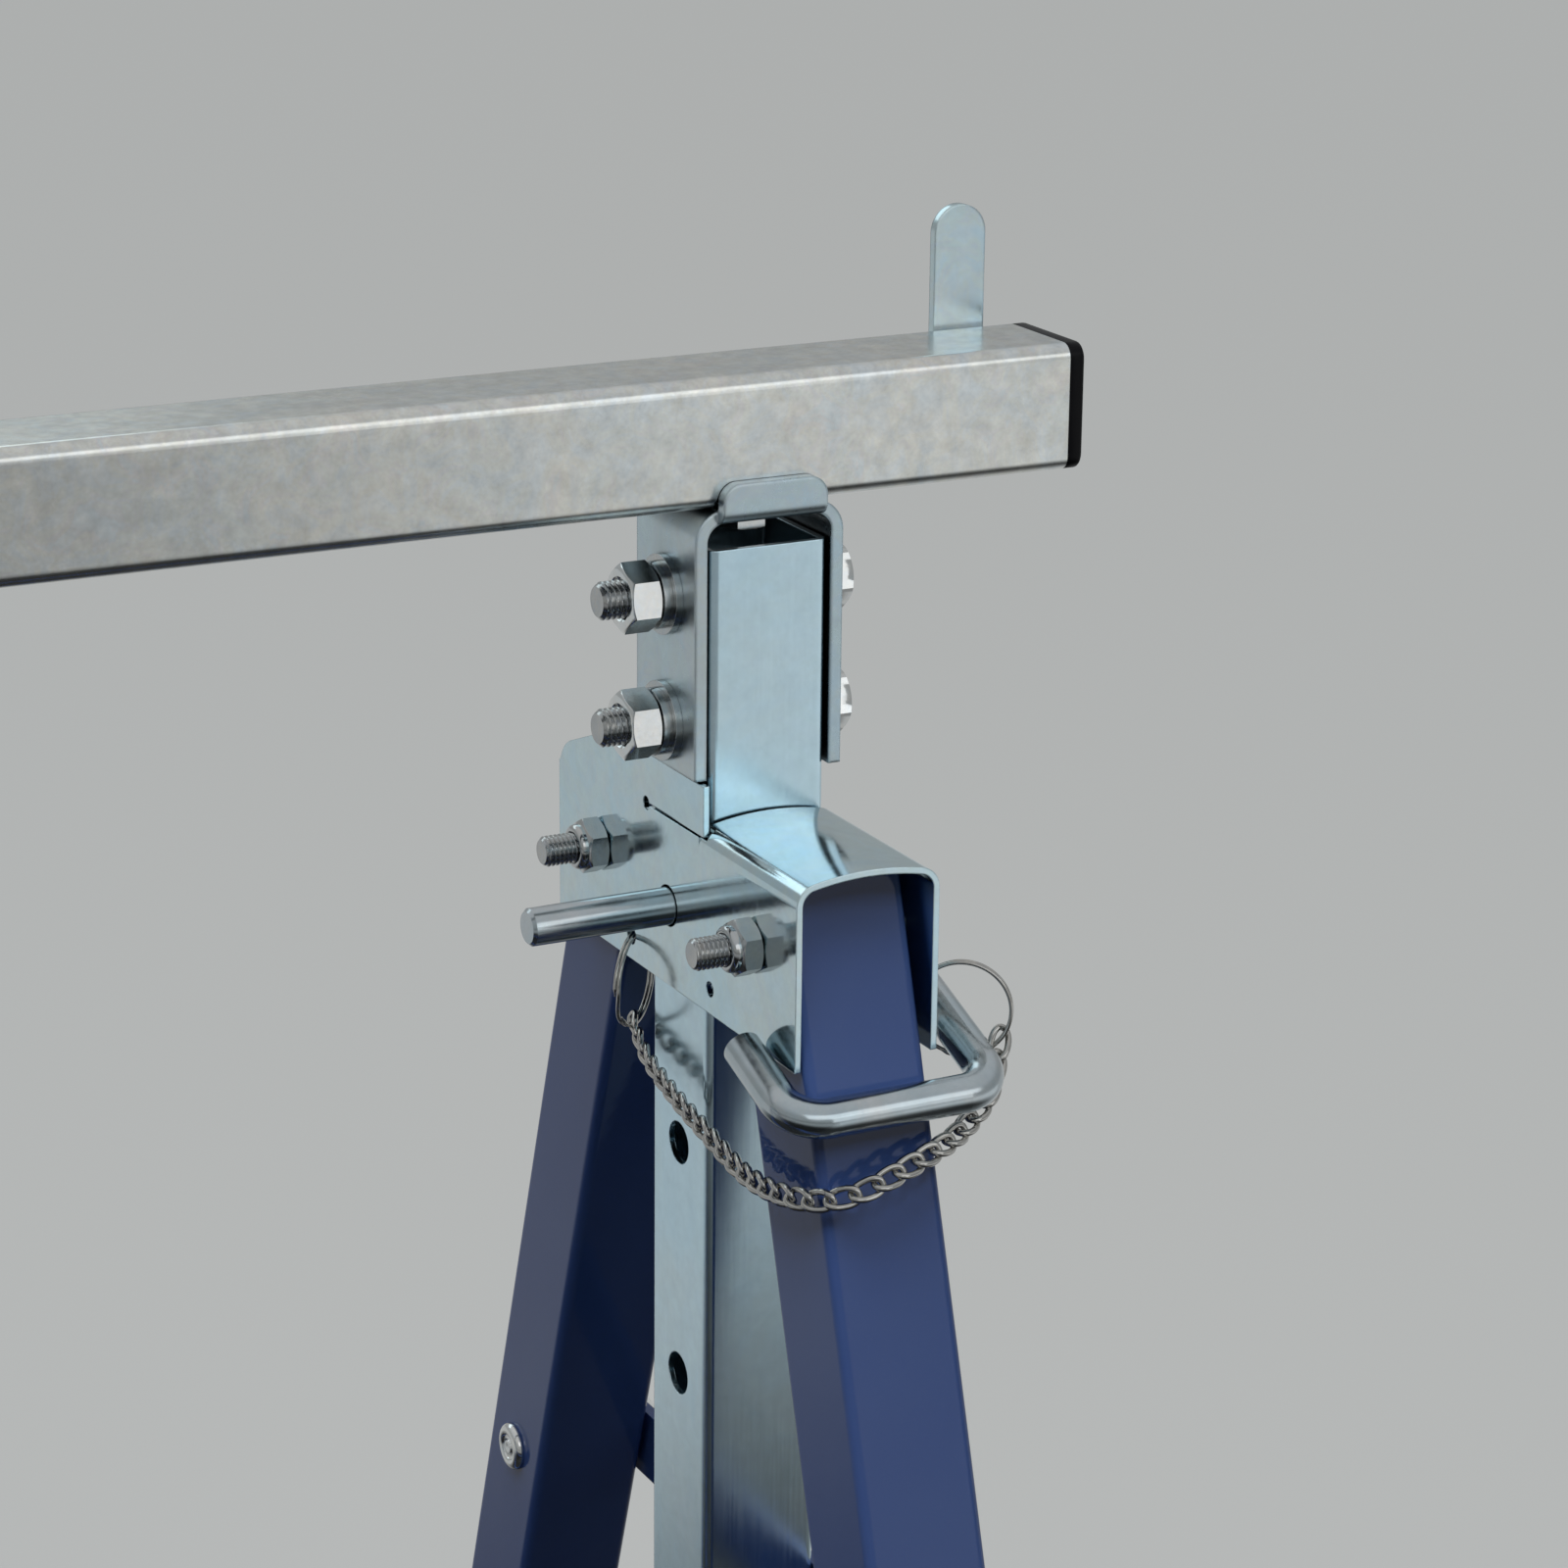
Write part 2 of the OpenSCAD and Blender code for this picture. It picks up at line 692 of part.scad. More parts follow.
// Leg bolts, with their locking nuts on the head's inner face
leg_thread = 10.5;

module at_leg_bolts() {
    both_hands() for (y = [-front_pivot, rear_pivot]) translate([0, y, pivot_z]) children();
}

module leg_bolts() {
    color(zinc) at_leg_bolts() translate([head_half, 0, 0]) along_x()
        hex_bolt(leg_bolt_d, 2 * head_half + leg_bolt_d + leg_thread);
}

module leg_nuts() {
    color(zinc) at_leg_bolts() inner_stack(head_half) locking_nut(leg_bolt_d);
}

// Lock pin: a rod through head and post, bent into a handle that reaches round the front leg
module lock_pin() {
    tip = pin_d / 12;
    arm = handle_reach - pin_bend;
    right = handle_out - pin_bend;
    left = handle_in + pin_bend;
    translate([0, 0, pin_z]) rotate([handle_slope, 0, 0]) {
        translate([pin_end_x, 0, 0]) along_x() cylinder(d1 = pin_d - 2 * tip, d2 = pin_d, h = tip);
        translate([pin_end_x + tip, 0, 0]) along_x() cylinder(d = pin_d, h = right - pin_end_x - tip);
        translate([right, -pin_bend, 0]) rod_bend(pin_d, pin_bend, 0, 90);
        translate([0, -arm, 0]) {
            translate([handle_out, 0, 0]) along_y() cylinder(d = pin_d, h = arm - pin_bend);
            translate([right, 0, 0]) rod_bend(pin_d, pin_bend, -90, 90);
            translate([left, -pin_bend, 0]) along_x() cylinder(d = pin_d, h = right - left);
            translate([left, 0, 0]) rod_bend(pin_d, pin_bend, 180, 90);
            translate([handle_in, 0, 0]) along_y() cylinder(d = pin_d, h = arm - hook_end);
        }
    }
}

module lock_pin_right() { color(zinc) right_hand() lock_pin(); }
module lock_pin_left() { color(zinc) left_hand() lock_pin(); }

module plate_ring() {
    translate([wall_mid_x, ring_hole_y, plate_ring_z]) rotate(ring_turn) along_y() split_ring();
}

module plate_ring_right() { color(nickel) right_hand() plate_ring(); }
module plate_ring_left() { color(nickel) left_hand() plate_ring(); }

module handle_ring() {
    translate(arm_ring_at) rotate(arm_ring_turn) along_y() split_ring();
}

module handle_ring_right() { color(nickel) right_hand() handle_ring(); }
module handle_ring_left() { color(nickel) left_hand() handle_ring(); }

// Chain: separate oval links, each rolled a quarter turn from the one before it

// Smooth curve through the route's points, four of them at a time
function curve_point(a, b, c, d, t) =
    0.5 * (2 * b + (c - a) * t + (2 * a - 5 * b + 4 * c - d) * t * t + (3 * b - a - 3 * c + d) * t * t * t);
function at_end(p, i) = p[max(0, min(len(p) - 1, i))];
curve_steps = 10;
chain_curve = [
    for (i = [0 : len(chain_points) - 2], k = [0 : curve_steps - 1])
        curve_point(at_end(chain_points, i - 1), chain_points[i], chain_points[i + 1],
                    at_end(chain_points, i + 2), k / curve_steps),
    chain_end];
chain_last = len(chain_curve) - 1;
chain_runs = [
    for (i = 0, run = 0; i <= chain_last; i = i + 1,
         run = run + (i <= chain_last ? norm(chain_curve[i] - chain_curve[i - 1]) : 0)) run];
function chain_axis(run, axis) =
    lookup(run, [for (i = [0 : chain_last]) [chain_runs[i], chain_curve[i][axis]]]);
function chain_at(run) = [chain_axis(run, 0), chain_axis(run, 1), chain_axis(run, 2)];

// The end links hang on the rings' wires; the others share the rest of the route evenly
link_pitch = link_inside - slack;
link_start = link_inside / 2 - ring_wire / 2 - end_slack;
link_count = ceil((chain_runs[chain_last] - 2 * link_start) / link_pitch) + 1;
link_step = (chain_runs[chain_last] - 2 * link_start) / (link_count - 1);
link_runs = [for (i = [0 : link_count - 1]) link_start + i * link_step];
link_centres = [for (run = link_runs) chain_at(run)];
link_axes = [for (run = link_runs) unit(chain_at(run + link_step / 2) - chain_at(run - link_step / 2))];

// Normals of the links: each follows from the one before, turned as little as the route allows
function square_to(v, axis) = unit(v - (v * axis) * axis);
first_normal = square_to([cos(ring_turn), sin(ring_turn), 0], link_axes[0]);
link_normals = [
    for (i = 0, n = first_normal; i < link_count; i = i + 1,
         n = square_to(n, link_axes[min(i, link_count - 1)])) n];
last_axis = link_axes[link_count - 1];
last_normal = link_normals[link_count - 1];
wanted_normal = square_to(ring_point(arm_ring_turn, chain_hold + 90), last_axis);
end_turn = atan2(cross(last_normal, wanted_normal) * last_axis, last_normal * wanted_normal);
spin = end_turn - 90 * (link_count - 1);
spin_short = spin - 180 * round(spin / 180);

module link() {
    bend = (link_gap + link_wire) / 2;
    straight = link_inside - link_gap;
    for (s = [-1, 1]) {
        translate([-straight / 2, s * bend, 0]) along_x() cylinder(d = link_wire, h = straight);
        translate([s * straight / 2, 0, 0]) rod_bend(link_wire, bend, -90 * s, 180);
    }
}

module chain() {
    for (i = [0 : link_count - 1]) {
        axis = link_axes[i];
        normal = link_normals[i];
        along_axes(axis, cross(normal, axis), normal, link_centres[i])
            rotate([90 * i + spin_short * i / (link_count - 1), 0, 0]) link();
    }
}

module chain_right() { color(nickel) right_hand() chain(); }
module chain_left() { color(nickel) left_hand() chain(); }

// Legs, cross tubes and feet

function leg_length(splay) = leg_drop / cos(splay);
function leg_cut(splay) = (leg_size / 2 * sin(splay) + foot_sole) / cos(splay);

module leg_tube(splay, hole_z) {
    foot_end = leg_length(splay) - leg_cut(splay);
    difference() {
        translate([0, 0, -foot_end]) box_tube(leg_size, foot_end + leg_top);
        along_x() cylinder(d = leg_bolt_d + 2 * bolt_gap, h = 2 * leg_size, center = true);
        translate([0, 0, -(pivot_z - hole_z) / cos(splay)])
            along_x() cylinder(d = stay_bolt_d + 2 * bolt_gap, h = 2 * leg_size, center = true);
    }
}

module front_leg_right() { color(blue_paint) right_hand() front_leg_frame() leg_tube(front_splay, stud_z); }
module front_leg_left() { color(blue_paint) left_hand() front_leg_frame() leg_tube(front_splay, stud_z); }
module rear_leg_right() { color(blue_paint) right_hand() rear_leg_frame() leg_tube(rear_splay, stay_z); }
module rear_leg_left() { color(blue_paint) left_hand() rear_leg_frame() leg_tube(rear_splay, stay_z); }

module cross_tube(splay) {
    translate([-cross_half, 0, -(leg_drop - cross_height) / cos(splay)])
        along_x() box_tube(cross_size, 2 * cross_half);
}

module front_cross_tube() {
    color(blue_paint) translate([0, 0, beam_under]) front_leg_frame(0) cross_tube(front_splay);
}

module rear_cross_tube() {
    color(blue_paint) translate([0, 0, beam_under]) rear_leg_frame(0) cross_tube(rear_splay);
}

// Foot: a moulded shoe on the leg's end, cut level with the floor and grooved for grip
module foot_block(splay) {
    size = leg_size + 2 * foot_wall;
    base = leg_length(splay);
    cut = leg_cut(splay);
    difference() {
        translate([0, 0, -base - size]) linear_extrude(size + cut + foot_sleeve)
            rounded_rect(size, size, tube_round + foot_wall);
        translate([0, 0, -base + cut]) linear_extrude(far)
            rounded_rect(leg_size + 2 * thread_gap, leg_size + 2 * thread_gap, tube_round);
    }
}

module floor_cut(y) {
    groove = 4;
    translate([-far, y - far, floor_z - far]) cube([2 * far, 2 * far, far]);
    for (k = [-1 : 1]) translate([-far, y + 3 * k * groove - groove / 2, floor_z - 1])
        cube([2 * far, groove, 1 + foot_sole / 4]);
}

module front_foot() {
    difference() {
        front_leg_frame() foot_block(front_splay);
        floor_cut(-foot_spread / 2);
    }
}

module rear_foot() {
    difference() {
        rear_leg_frame() foot_block(rear_splay);
        floor_cut(foot_spread / 2);
    }
}

module front_foot_right() { color(black_plastic) right_hand() front_foot(); }
module front_foot_left() { color(black_plastic) left_hand() front_foot(); }
module rear_foot_right() { color(black_plastic) right_hand() rear_foot(); }
module rear_foot_left() { color(black_plastic) left_hand() rear_foot(); }

// Stays

// Stud of a front leg: dome inside, shank through the tube, shoulder and head outside
module stay_studs() {
    shoulder = stay_x - leg_outer_x + stay_sheet + stay_gap;
    color(zinc) both_hands() translate([0, stud_y, stud_z]) {
        translate([leg_inner_x, 0, 0]) rotate([0, -90, 0]) dome(2.1 * stay_bolt_d, 0.55 * stay_bolt_d);
        translate([leg_inner_x - overlap, 0, 0]) along_x()
            cylinder(d = stay_bolt_d, h = leg_size + 2 * overlap);
        translate([leg_outer_x, 0, 0]) along_x() cylinder(d = stud_d, h = shoulder + overlap);
        translate([leg_outer_x + shoulder, 0, 0]) along_x() cylinder(d = 1.8 * stud_d, h = 3);
    }
}

// Pivot of a stay on a rear leg: dome inside, shank through tube and stay, nut outside
module stay_pivot_bolts() {
    grip = stay_x - leg_inner_x + stay_sheet + stay_gap + nut_height(stay_bolt_d) + 2;
    color(zinc) both_hands() translate([leg_inner_x, stay_rear_y, stay_z]) {
        rotate([0, -90, 0]) dome(2.1 * stay_bolt_d, 0.55 * stay_bolt_d);
        translate([-overlap, 0, 0]) along_x() cylinder(d = stay_bolt_d, h = grip);
    }
}

// Washers that keep the stays clear of the posts
module stay_washers() {
    color(zinc) both_hands() translate([leg_outer_x, stay_rear_y, stay_z]) along_x()
        ring_plate(2 * stay_bolt_d, stay_bolt_d + 2 * bolt_gap, stay_x - leg_outer_x - slide_gap);
}

module stay_pivot_nuts() {
    color(zinc) both_hands() translate([stay_x + stay_sheet + stay_gap, stay_rear_y, stay_z])
        along_x() hex_nut(stay_bolt_d);
}

// Side view of a stay: a bar with a round rear end and a hook that drops before the stud
module stay_area() {
    hook_y = stud_y - stud_d / 2 - slide_gap - hook_width / 2;
    half = stay_width / 2;
    hook_r = hook_width / 2;
    difference() {
        union() {
            translate([stay_rear_y, stay_z]) circle(half);
            translate([hook_y, stay_z - half]) square([stay_rear_y - hook_y, stay_width]);
            translate([hook_y - hook_r, stay_z - half - hook_depth + hook_r])
                square([hook_width, stay_width + hook_depth - hook_width]);
            translate([hook_y, stay_z + half - hook_r]) circle(hook_r);
            translate([hook_y, stay_z - half - hook_depth + hook_r]) circle(hook_r);
        }
        translate([stay_rear_y, stay_z]) circle(d = stay_bolt_d + 2 * bolt_gap);
    }
}

module stay() {
    side_sheet(stay_x, stay_x + stay_sheet) stay_area();
}

module stay_right() { color(blue_paint) right_hand() stay(); }
module stay_left() { color(blue_paint) left_hand() stay(); }

top_beam();
beam_cap_right();
beam_cap_left();
stop_tab_right();
stop_tab_left();
saddle_right();
saddle_left();
beam_fixing_bolts();
beam_fixing_nuts();
post_right();
post_left();
saddle_bolts();
saddle_flat_washers();
saddle_spring_washers();
saddle_nuts();
head_right();
head_left();
leg_bolts();
leg_nuts();
plate_ring_right();
plate_ring_left();
chain_right();
chain_left();
lock_pin_right();
lock_pin_left();
handle_ring_right();
handle_ring_left();
front_leg_right();
front_leg_left();
front_cross_tube();
front_foot_right();
front_foot_left();
stay_studs();
rear_leg_right();
rear_leg_left();
rear_cross_tube();
rear_foot_right();
rear_foot_left();
stay_pivot_bolts();
stay_washers();
stay_pivot_nuts();
stay_right();
stay_left();
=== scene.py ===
"""Looks of the builders trestle: finishes for the CAD nodes, and small shapes that the solids leave plain.

Shapes are worked out in millimetres in the frame of the right-hand end: zero on the post's axis at the
beam's underside, +X towards the beam's end. The left-hand end mirrors them in X.
"""

import math

import bpy
import numpy as np
from mathutils import Matrix, Vector


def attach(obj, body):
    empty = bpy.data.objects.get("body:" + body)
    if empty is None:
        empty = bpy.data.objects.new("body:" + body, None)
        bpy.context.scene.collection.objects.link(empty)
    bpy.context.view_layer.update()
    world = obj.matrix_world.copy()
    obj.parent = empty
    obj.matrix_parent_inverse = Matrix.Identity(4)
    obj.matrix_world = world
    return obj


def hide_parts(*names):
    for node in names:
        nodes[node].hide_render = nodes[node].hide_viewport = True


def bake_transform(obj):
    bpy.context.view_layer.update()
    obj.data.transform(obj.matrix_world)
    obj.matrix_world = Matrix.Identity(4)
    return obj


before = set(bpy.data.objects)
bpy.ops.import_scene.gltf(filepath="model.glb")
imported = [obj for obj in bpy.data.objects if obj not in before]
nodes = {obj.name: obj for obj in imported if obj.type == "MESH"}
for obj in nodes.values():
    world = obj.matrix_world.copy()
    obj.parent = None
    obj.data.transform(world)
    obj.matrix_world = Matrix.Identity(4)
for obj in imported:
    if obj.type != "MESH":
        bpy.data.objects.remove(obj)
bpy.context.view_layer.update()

MM = 0.001
POST_X = 396.0
BEAM_UNDER = 780.0
TURN = 2 * math.pi

# Places that the solids give, in millimetres
SADDLE_HALF = 25.0
SADDLE_BOLT_Z = (-29.5, -69.5)
HEAD_HALF = 24.0
PIN_Z = -130.0
LEG_BOLT_Z = -124.5
FRONT_PIVOT = -58.0
REAR_PIVOT = 50.0
FOOT_Y = 257.5
LEG_DROP = 655.5
LEG_INNER = -21.3
LEG_OUTER = 18.7
LEG_HALF = 20.0
FRONT_SLOPE = (FOOT_Y + FRONT_PIVOT) / LEG_DROP
REAR_SLOPE = (FOOT_Y - REAR_PIVOT) / LEG_DROP
STAY_Z = -372.0
STAY_Y = REAR_PIVOT + (LEG_BOLT_Z - STAY_Z) * REAR_SLOPE
STAY_OUTER = 25.0
CROSS_DROP = LEG_DROP - 230.0
CROSS_SIZE = 30.0
BEAM_SIZE = 40.0
BEAM_ROUND = 4.5
BEAM_END = 104.0
CAP_LIP = 5.5
TAB_X = 86.7
TAB_WIDTH = 18.0
RING_RADIUS = 15.0
RING_WIRE = 1.3
PLATE_RING = np.array([-23.0, 26.5, -163.0])
PLATE_RING_TURN = math.radians(43)
HANDLE_RING = np.array([39.5, -74.286, -149.432])
HANDLE_RING_TURN = math.radians(-35)
CHAIN_HOLD = math.radians(-38)
HANDLE_OUT = 38.0
BAR_Y = -99.48


# Shapes: each is a pair of points in millimetres and faces

def grid_quads(rows, cols, close_rows=False):
    """Quads of a grid whose columns run all the way round; close_rows joins the last row to the first."""
    row, col = np.meshgrid(np.arange(rows if close_rows else rows - 1), np.arange(cols), indexing="ij")
    up = (row + 1) % rows
    on = (col + 1) % cols
    quads = np.stack([row * cols + col, row * cols + on, up * cols + on, up * cols + col], -1)
    return quads.reshape(-1, 4).tolist()


def skin(points, close_rows=False):
    """Closed surface over a (rows, columns, 3) grid; open rows get a fan to the middle of each end."""
    rows, cols = points.shape[:2]
    flat = points.reshape(-1, 3)
    faces = grid_quads(rows, cols, close_rows)
    if not close_rows:
        first, last = rows * cols, rows * cols + 1
        flat = np.vstack([flat, points[0].mean(0), points[-1].mean(0)])
        on = [(c + 1) % cols for c in range(cols)]
        base = (rows - 1) * cols
        faces += [[first, on[c], c] for c in range(cols)]
        faces += [[last, base + c, base + on[c]] for c in range(cols)]
    return flat, faces


def turned(rows, cols=48, close_rows=False):
    """Surface round Z. Each row gives radius and height, as numbers or as arrays over the angle."""
    angle = np.arange(cols) * TURN / cols
    radius = np.stack([np.broadcast_to(r, cols) for r, _ in rows])
    height = np.stack([np.broadcast_to(h, cols) for _, h in rows])
    return skin(np.stack([radius * np.cos(angle), radius * np.sin(angle), height], -1), close_rows)


def swept(path, across, up, outline, close=False):
    """Profile carried along a path: at each point the outline's (u, v) is laid off along across and up."""
    points = (path[:, None, :] + outline[..., 0, None] * across[:, None, :]
              + outline[..., 1, None] * up[:, None, :])
    return skin(points, close)


def moved(shape, matrix=np.eye(3), at=(0, 0, 0)):
    """Shape turned by a 3 by 3 matrix, then shifted."""
    return shape[0] @ np.asarray(matrix, float).T + np.asarray(at, float), shape[1]


def joined(shapes):
    """Several shapes as one."""
    points, faces, count = [], [], 0
    for shape_points, shape_faces in shapes:
        points.append(shape_points)
        faces += [[i + count for i in face] for face in shape_faces]
        count += len(shape_points)
    return np.vstack(points), faces


def mirrored(shape):
    """Shape of the other end: X changes sign, and the faces turn round with it."""
    return shape[0] * [-1, 1, 1], [face[::-1] for face in shape[1]]


def right_end(shape):
    """Shape of the right-hand end, moved from its own frame to the trestle's."""
    return shape[0] + [POST_X, 0, BEAM_UNDER], shape[1]


def left_end(shape):
    """The same shape at the left-hand end."""
    return mirrored(right_end(shape))


def both_ends(shape):
    """The shape at both ends, as one."""
    return joined([right_end(shape), left_end(shape)])


# Turns that lay a shape's own Z along +X or along -X
OUTWARD = np.array([[0, 0, 1], [0, 1, 0], [-1, 0, 0]])
INWARD = np.array([[0, 0, -1], [0, 1, 0], [1, 0, 0]])


def piece(name, shape, material, body, replaced=(), sharp=35):
    """Mesh object in metres from a shape; edges sharper than the given angle stay crisp."""
    mesh = bpy.data.meshes.new(name)
    mesh.from_pydata((shape[0] * MM).tolist(), [], shape[1])
    mesh.validate()
    mesh.polygons.foreach_set("use_smooth", np.ones(len(mesh.polygons), bool))
    mesh.set_sharp_from_angle(angle=math.radians(sharp))
    mesh.materials.append(material)
    thing = bpy.data.objects.new(name, mesh)
    bpy.context.scene.collection.objects.link(thing)
    if body:
        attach(thing, body)
    if replaced:
        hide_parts(*replaced)
    return thing


# Finishes: effects that several of them share are node groups

class Nodes:
    """Short way to place and wire nodes in one tree."""

    def __init__(self, tree):
        self.tree = tree

    def add(self, kind, values=(), **settings):
        """Node of a kind; each value is a number for one of its inputs or a socket to wire to it."""
        node = self.tree.nodes.new(kind)
        for key, value in settings.items():
            setattr(node, key, value)
        for key, value in dict(values).items():
            if isinstance(value, bpy.types.NodeSocket):
                self.tree.links.new(value, node.inputs[key])
            else:
                node.inputs[key].default_value = value
        return node

    def noise(self, vector, scale, detail=4.0, roughness=0.55, distortion=0.0):
        """Noise at a place, mostly between 0.3 and 0.7."""
        return self.add("ShaderNodeTexNoise", {
            "Vector": vector, "Scale": scale, "Detail": detail, "Roughness": roughness,
            "Distortion": distortion}).outputs["Fac"]

    def spread(self, value, low, high, to_low=0.0, to_high=1.0):
        """Value taken from one range to another and held inside it."""
        return self.add("ShaderNodeMapRange", {
            "Value": value, "From Min": low, "From Max": high, "To Min": to_low, "To Max": to_high,
        }, clamp=True).outputs["Result"]

    def math(self, operation, first, second=0.0):
        """One calculation with two numbers or sockets."""
        return self.add("ShaderNodeMath", {0: first, 1: second}, operation=operation).outputs[0]

    def mix(self, factor, first, second, blend="MIX"):
        """Second colour over the first, as far as the factor says."""
        node = self.add("ShaderNodeMix", data_type="RGBA", blend_type=blend)
        for key, value in ((0, factor), (6, first), (7, second)):
            if isinstance(value, bpy.types.NodeSocket):
                self.tree.links.new(value, node.inputs[key])
            else:
                node.inputs[key].default_value = value
        return node.outputs[2]

    def ramp(self, value, stops):
        """Colour from a row of (place, colour) stops."""
        node = self.add("ShaderNodeValToRGB", {"Fac": value})
        elements = node.color_ramp.elements
        while len(elements) < len(stops):
            elements.new(0.5)
        for element, (place, colour) in zip(elements, stops):
            element.position = place
            element.color = (*colour, 1)
        return node.outputs["Color"]


def new_group(name, inputs, outputs):
    """Empty shader node group with named sockets: its wiring helper, its inputs and its outputs."""
    tree = bpy.data.node_groups.new(name, "ShaderNodeTree")
    for label, kind, default in inputs:
        socket = tree.interface.new_socket(label, in_out="INPUT", socket_type=kind)
        socket.default_value = default
    for label, kind in outputs:
        tree.interface.new_socket(label, in_out="OUTPUT", socket_type=kind)
    wire = Nodes(tree)
    entry = wire.add("NodeGroupInput")
    leave = wire.add("NodeGroupOutput")
    return wire, entry.outputs, leave.inputs


FLOAT = "NodeSocketFloat"
COLOUR = "NodeSocketColor"
VECTOR = "NodeSocketVector"


def zinc_bloom_group():
    """Zinc plating: slow clouds drift from a cool to a warm tint, stains with crisp rims lie on top, and
    drawing lines along the metal vary the gloss and lift the surface."""
    wire, given, out = new_group("zinc_bloom", [
        ("Cool", COLOUR, (0.6, 0.7, 0.76, 1)), ("Warm", COLOUR, (0.76, 0.74, 0.68, 1)),
        ("Warmth", FLOAT, 0.5), ("Cloud", FLOAT, 18.0), ("Stain", FLOAT, 0.3),
        ("Lines", VECTOR, (40.0, 900.0, 900.0)), ("Gloss", FLOAT, 0.25), ("Spread", FLOAT, 0.08),
        ("Mottle", FLOAT, 0.06)],
        [("Color", COLOUR), ("Roughness", FLOAT), ("Height", FLOAT)])
    at = wire.add("ShaderNodeTexCoord").outputs["Object"]
    cloud = wire.noise(at, given["Cloud"], 6.0, 0.62, 0.7)
    fine = wire.noise(at, 160.0, 8.0, 0.7)
    drawn = wire.add("ShaderNodeMapping", {"Vector": at, "Scale": given["Lines"]}).outputs[0]
    lines = wire.noise(drawn, 1.0, 3.0)
    warm = wire.math("MULTIPLY", wire.spread(cloud, 0.4, 0.64), given["Warmth"])
    colour = wire.mix(warm, given["Cool"], given["Warm"])
    stain_field = wire.noise(at, wire.math("MULTIPLY", given["Cloud"], 1.7), 9.0, 0.72, 1.2)
    film = wire.ramp(stain_field, [
        (0.36, (0.80, 0.86, 0.92)), (0.45, (0.90, 0.90, 0.90)), (0.52, (0.95, 0.90, 0.76)),
        (0.57, (0.92, 0.82, 0.80)), (0.63, (0.80, 0.86, 0.90)), (0.72, (0.93, 0.92, 0.90))])
    colour = wire.mix(given["Stain"], colour, film, "MULTIPLY")
    speckle = wire.spread(fine, 0.3, 0.7, -1.0, 0.7)
    shade = wire.math("ADD", 1.0, wire.math("MULTIPLY", speckle, given["Mottle"]))
    colour = wire.mix(1.0, colour, wire.add("ShaderNodeCombineColor", {
        "Red": shade, "Green": shade, "Blue": shade}).outputs[0], "MULTIPLY")
    streaks = wire.spread(lines, 0.3, 0.7, -0.5, 0.5)
    uneven = wire.math("ADD", streaks, wire.spread(cloud, 0.3, 0.7, -0.5, 0.5))
    dull = wire.math("ADD", given["Gloss"], wire.math("MULTIPLY", uneven, given["Spread"]))
    links = wire.tree.links
    links.new(colour, out["Color"])
    links.new(dull, out["Roughness"])
    links.new(wire.math("ADD", lines, wire.math("MULTIPLY", fine, 0.4)), out["Height"])
    return wire.tree


def paint_skin_group():
    """Sprayed paint: orange peel lifts the surface, thin patches shift the tint, and dust dulls it."""
    wire, given, out = new_group("paint_skin", [
        ("Tint", COLOUR, (0.04, 0.06, 0.16, 1)), ("Thin", COLOUR, (0.06, 0.08, 0.17, 1)),
        ("Peel", FLOAT, 420.0), ("Gloss", FLOAT, 0.2), ("Dust", FLOAT, 0.15)],
        [("Color", COLOUR), ("Roughness", FLOAT), ("Height", FLOAT)])
    at = wire.add("ShaderNodeTexCoord").outputs["Object"]
    patch = wire.noise(at, 14.0, 5.0, 0.6, 0.4)
    peel = wire.noise(at, given["Peel"], 2.0, 0.5)
    swell = wire.noise(at, 60.0, 2.0, 0.5)
    dust = wire.spread(wire.noise(at, 950.0, 6.0, 0.75), 0.52, 0.72)
    colour = wire.mix(wire.spread(patch, 0.35, 0.68), given["Tint"], given["Thin"])
    colour = wire.mix(wire.math("MULTIPLY", dust, given["Dust"]), colour, (0.16, 0.18, 0.24, 1))
    links = wire.tree.links
    links.new(colour, out["Color"])
    links.new(wire.math("ADD", given["Gloss"], wire.math("MULTIPLY", dust, 0.06)), out["Roughness"])
    links.new(wire.math("ADD", peel, wire.math("MULTIPLY", swell, 3.0)), out["Height"])
    return wire.tree


def moulding_grain_group():
    """Moulded plastic: eroded grain with faint flow marks."""
    wire, given, out = new_group("moulding_grain", [
        ("Tint", COLOUR, (0.004, 0.004, 0.005, 1)), ("Grain", FLOAT, 1400.0), ("Gloss", FLOAT, 0.36)],
        [("Color", COLOUR), ("Roughness", FLOAT), ("Height", FLOAT)])
    at = wire.add("ShaderNodeTexCoord").outputs["Object"]
    grain = wire.noise(at, given["Grain"], 5.0, 0.65)
    flow = wire.noise(at, 35.0, 4.0, 0.6, 0.8)
    colour = wire.mix(wire.spread(flow, 0.45, 0.75), given["Tint"], (0.005, 0.005, 0.006, 1))
    links = wire.tree.links
    links.new(colour, out["Color"])
    links.new(wire.math("ADD", given["Gloss"], wire.spread(flow, 0.3, 0.7, -0.06, 0.08)), out["Roughness"])
    links.new(grain, out["Height"])
    return wire.tree


ZINC_BLOOM = zinc_bloom_group()
PAINT_SKIN = paint_skin_group()
MOULDING_GRAIN = moulding_grain_group()
# Dark tone of the painted shade that a finish lays on its colour near walls
PAINTED_SHADE_TONE = (0.03, 0.035, 0.04, 1)


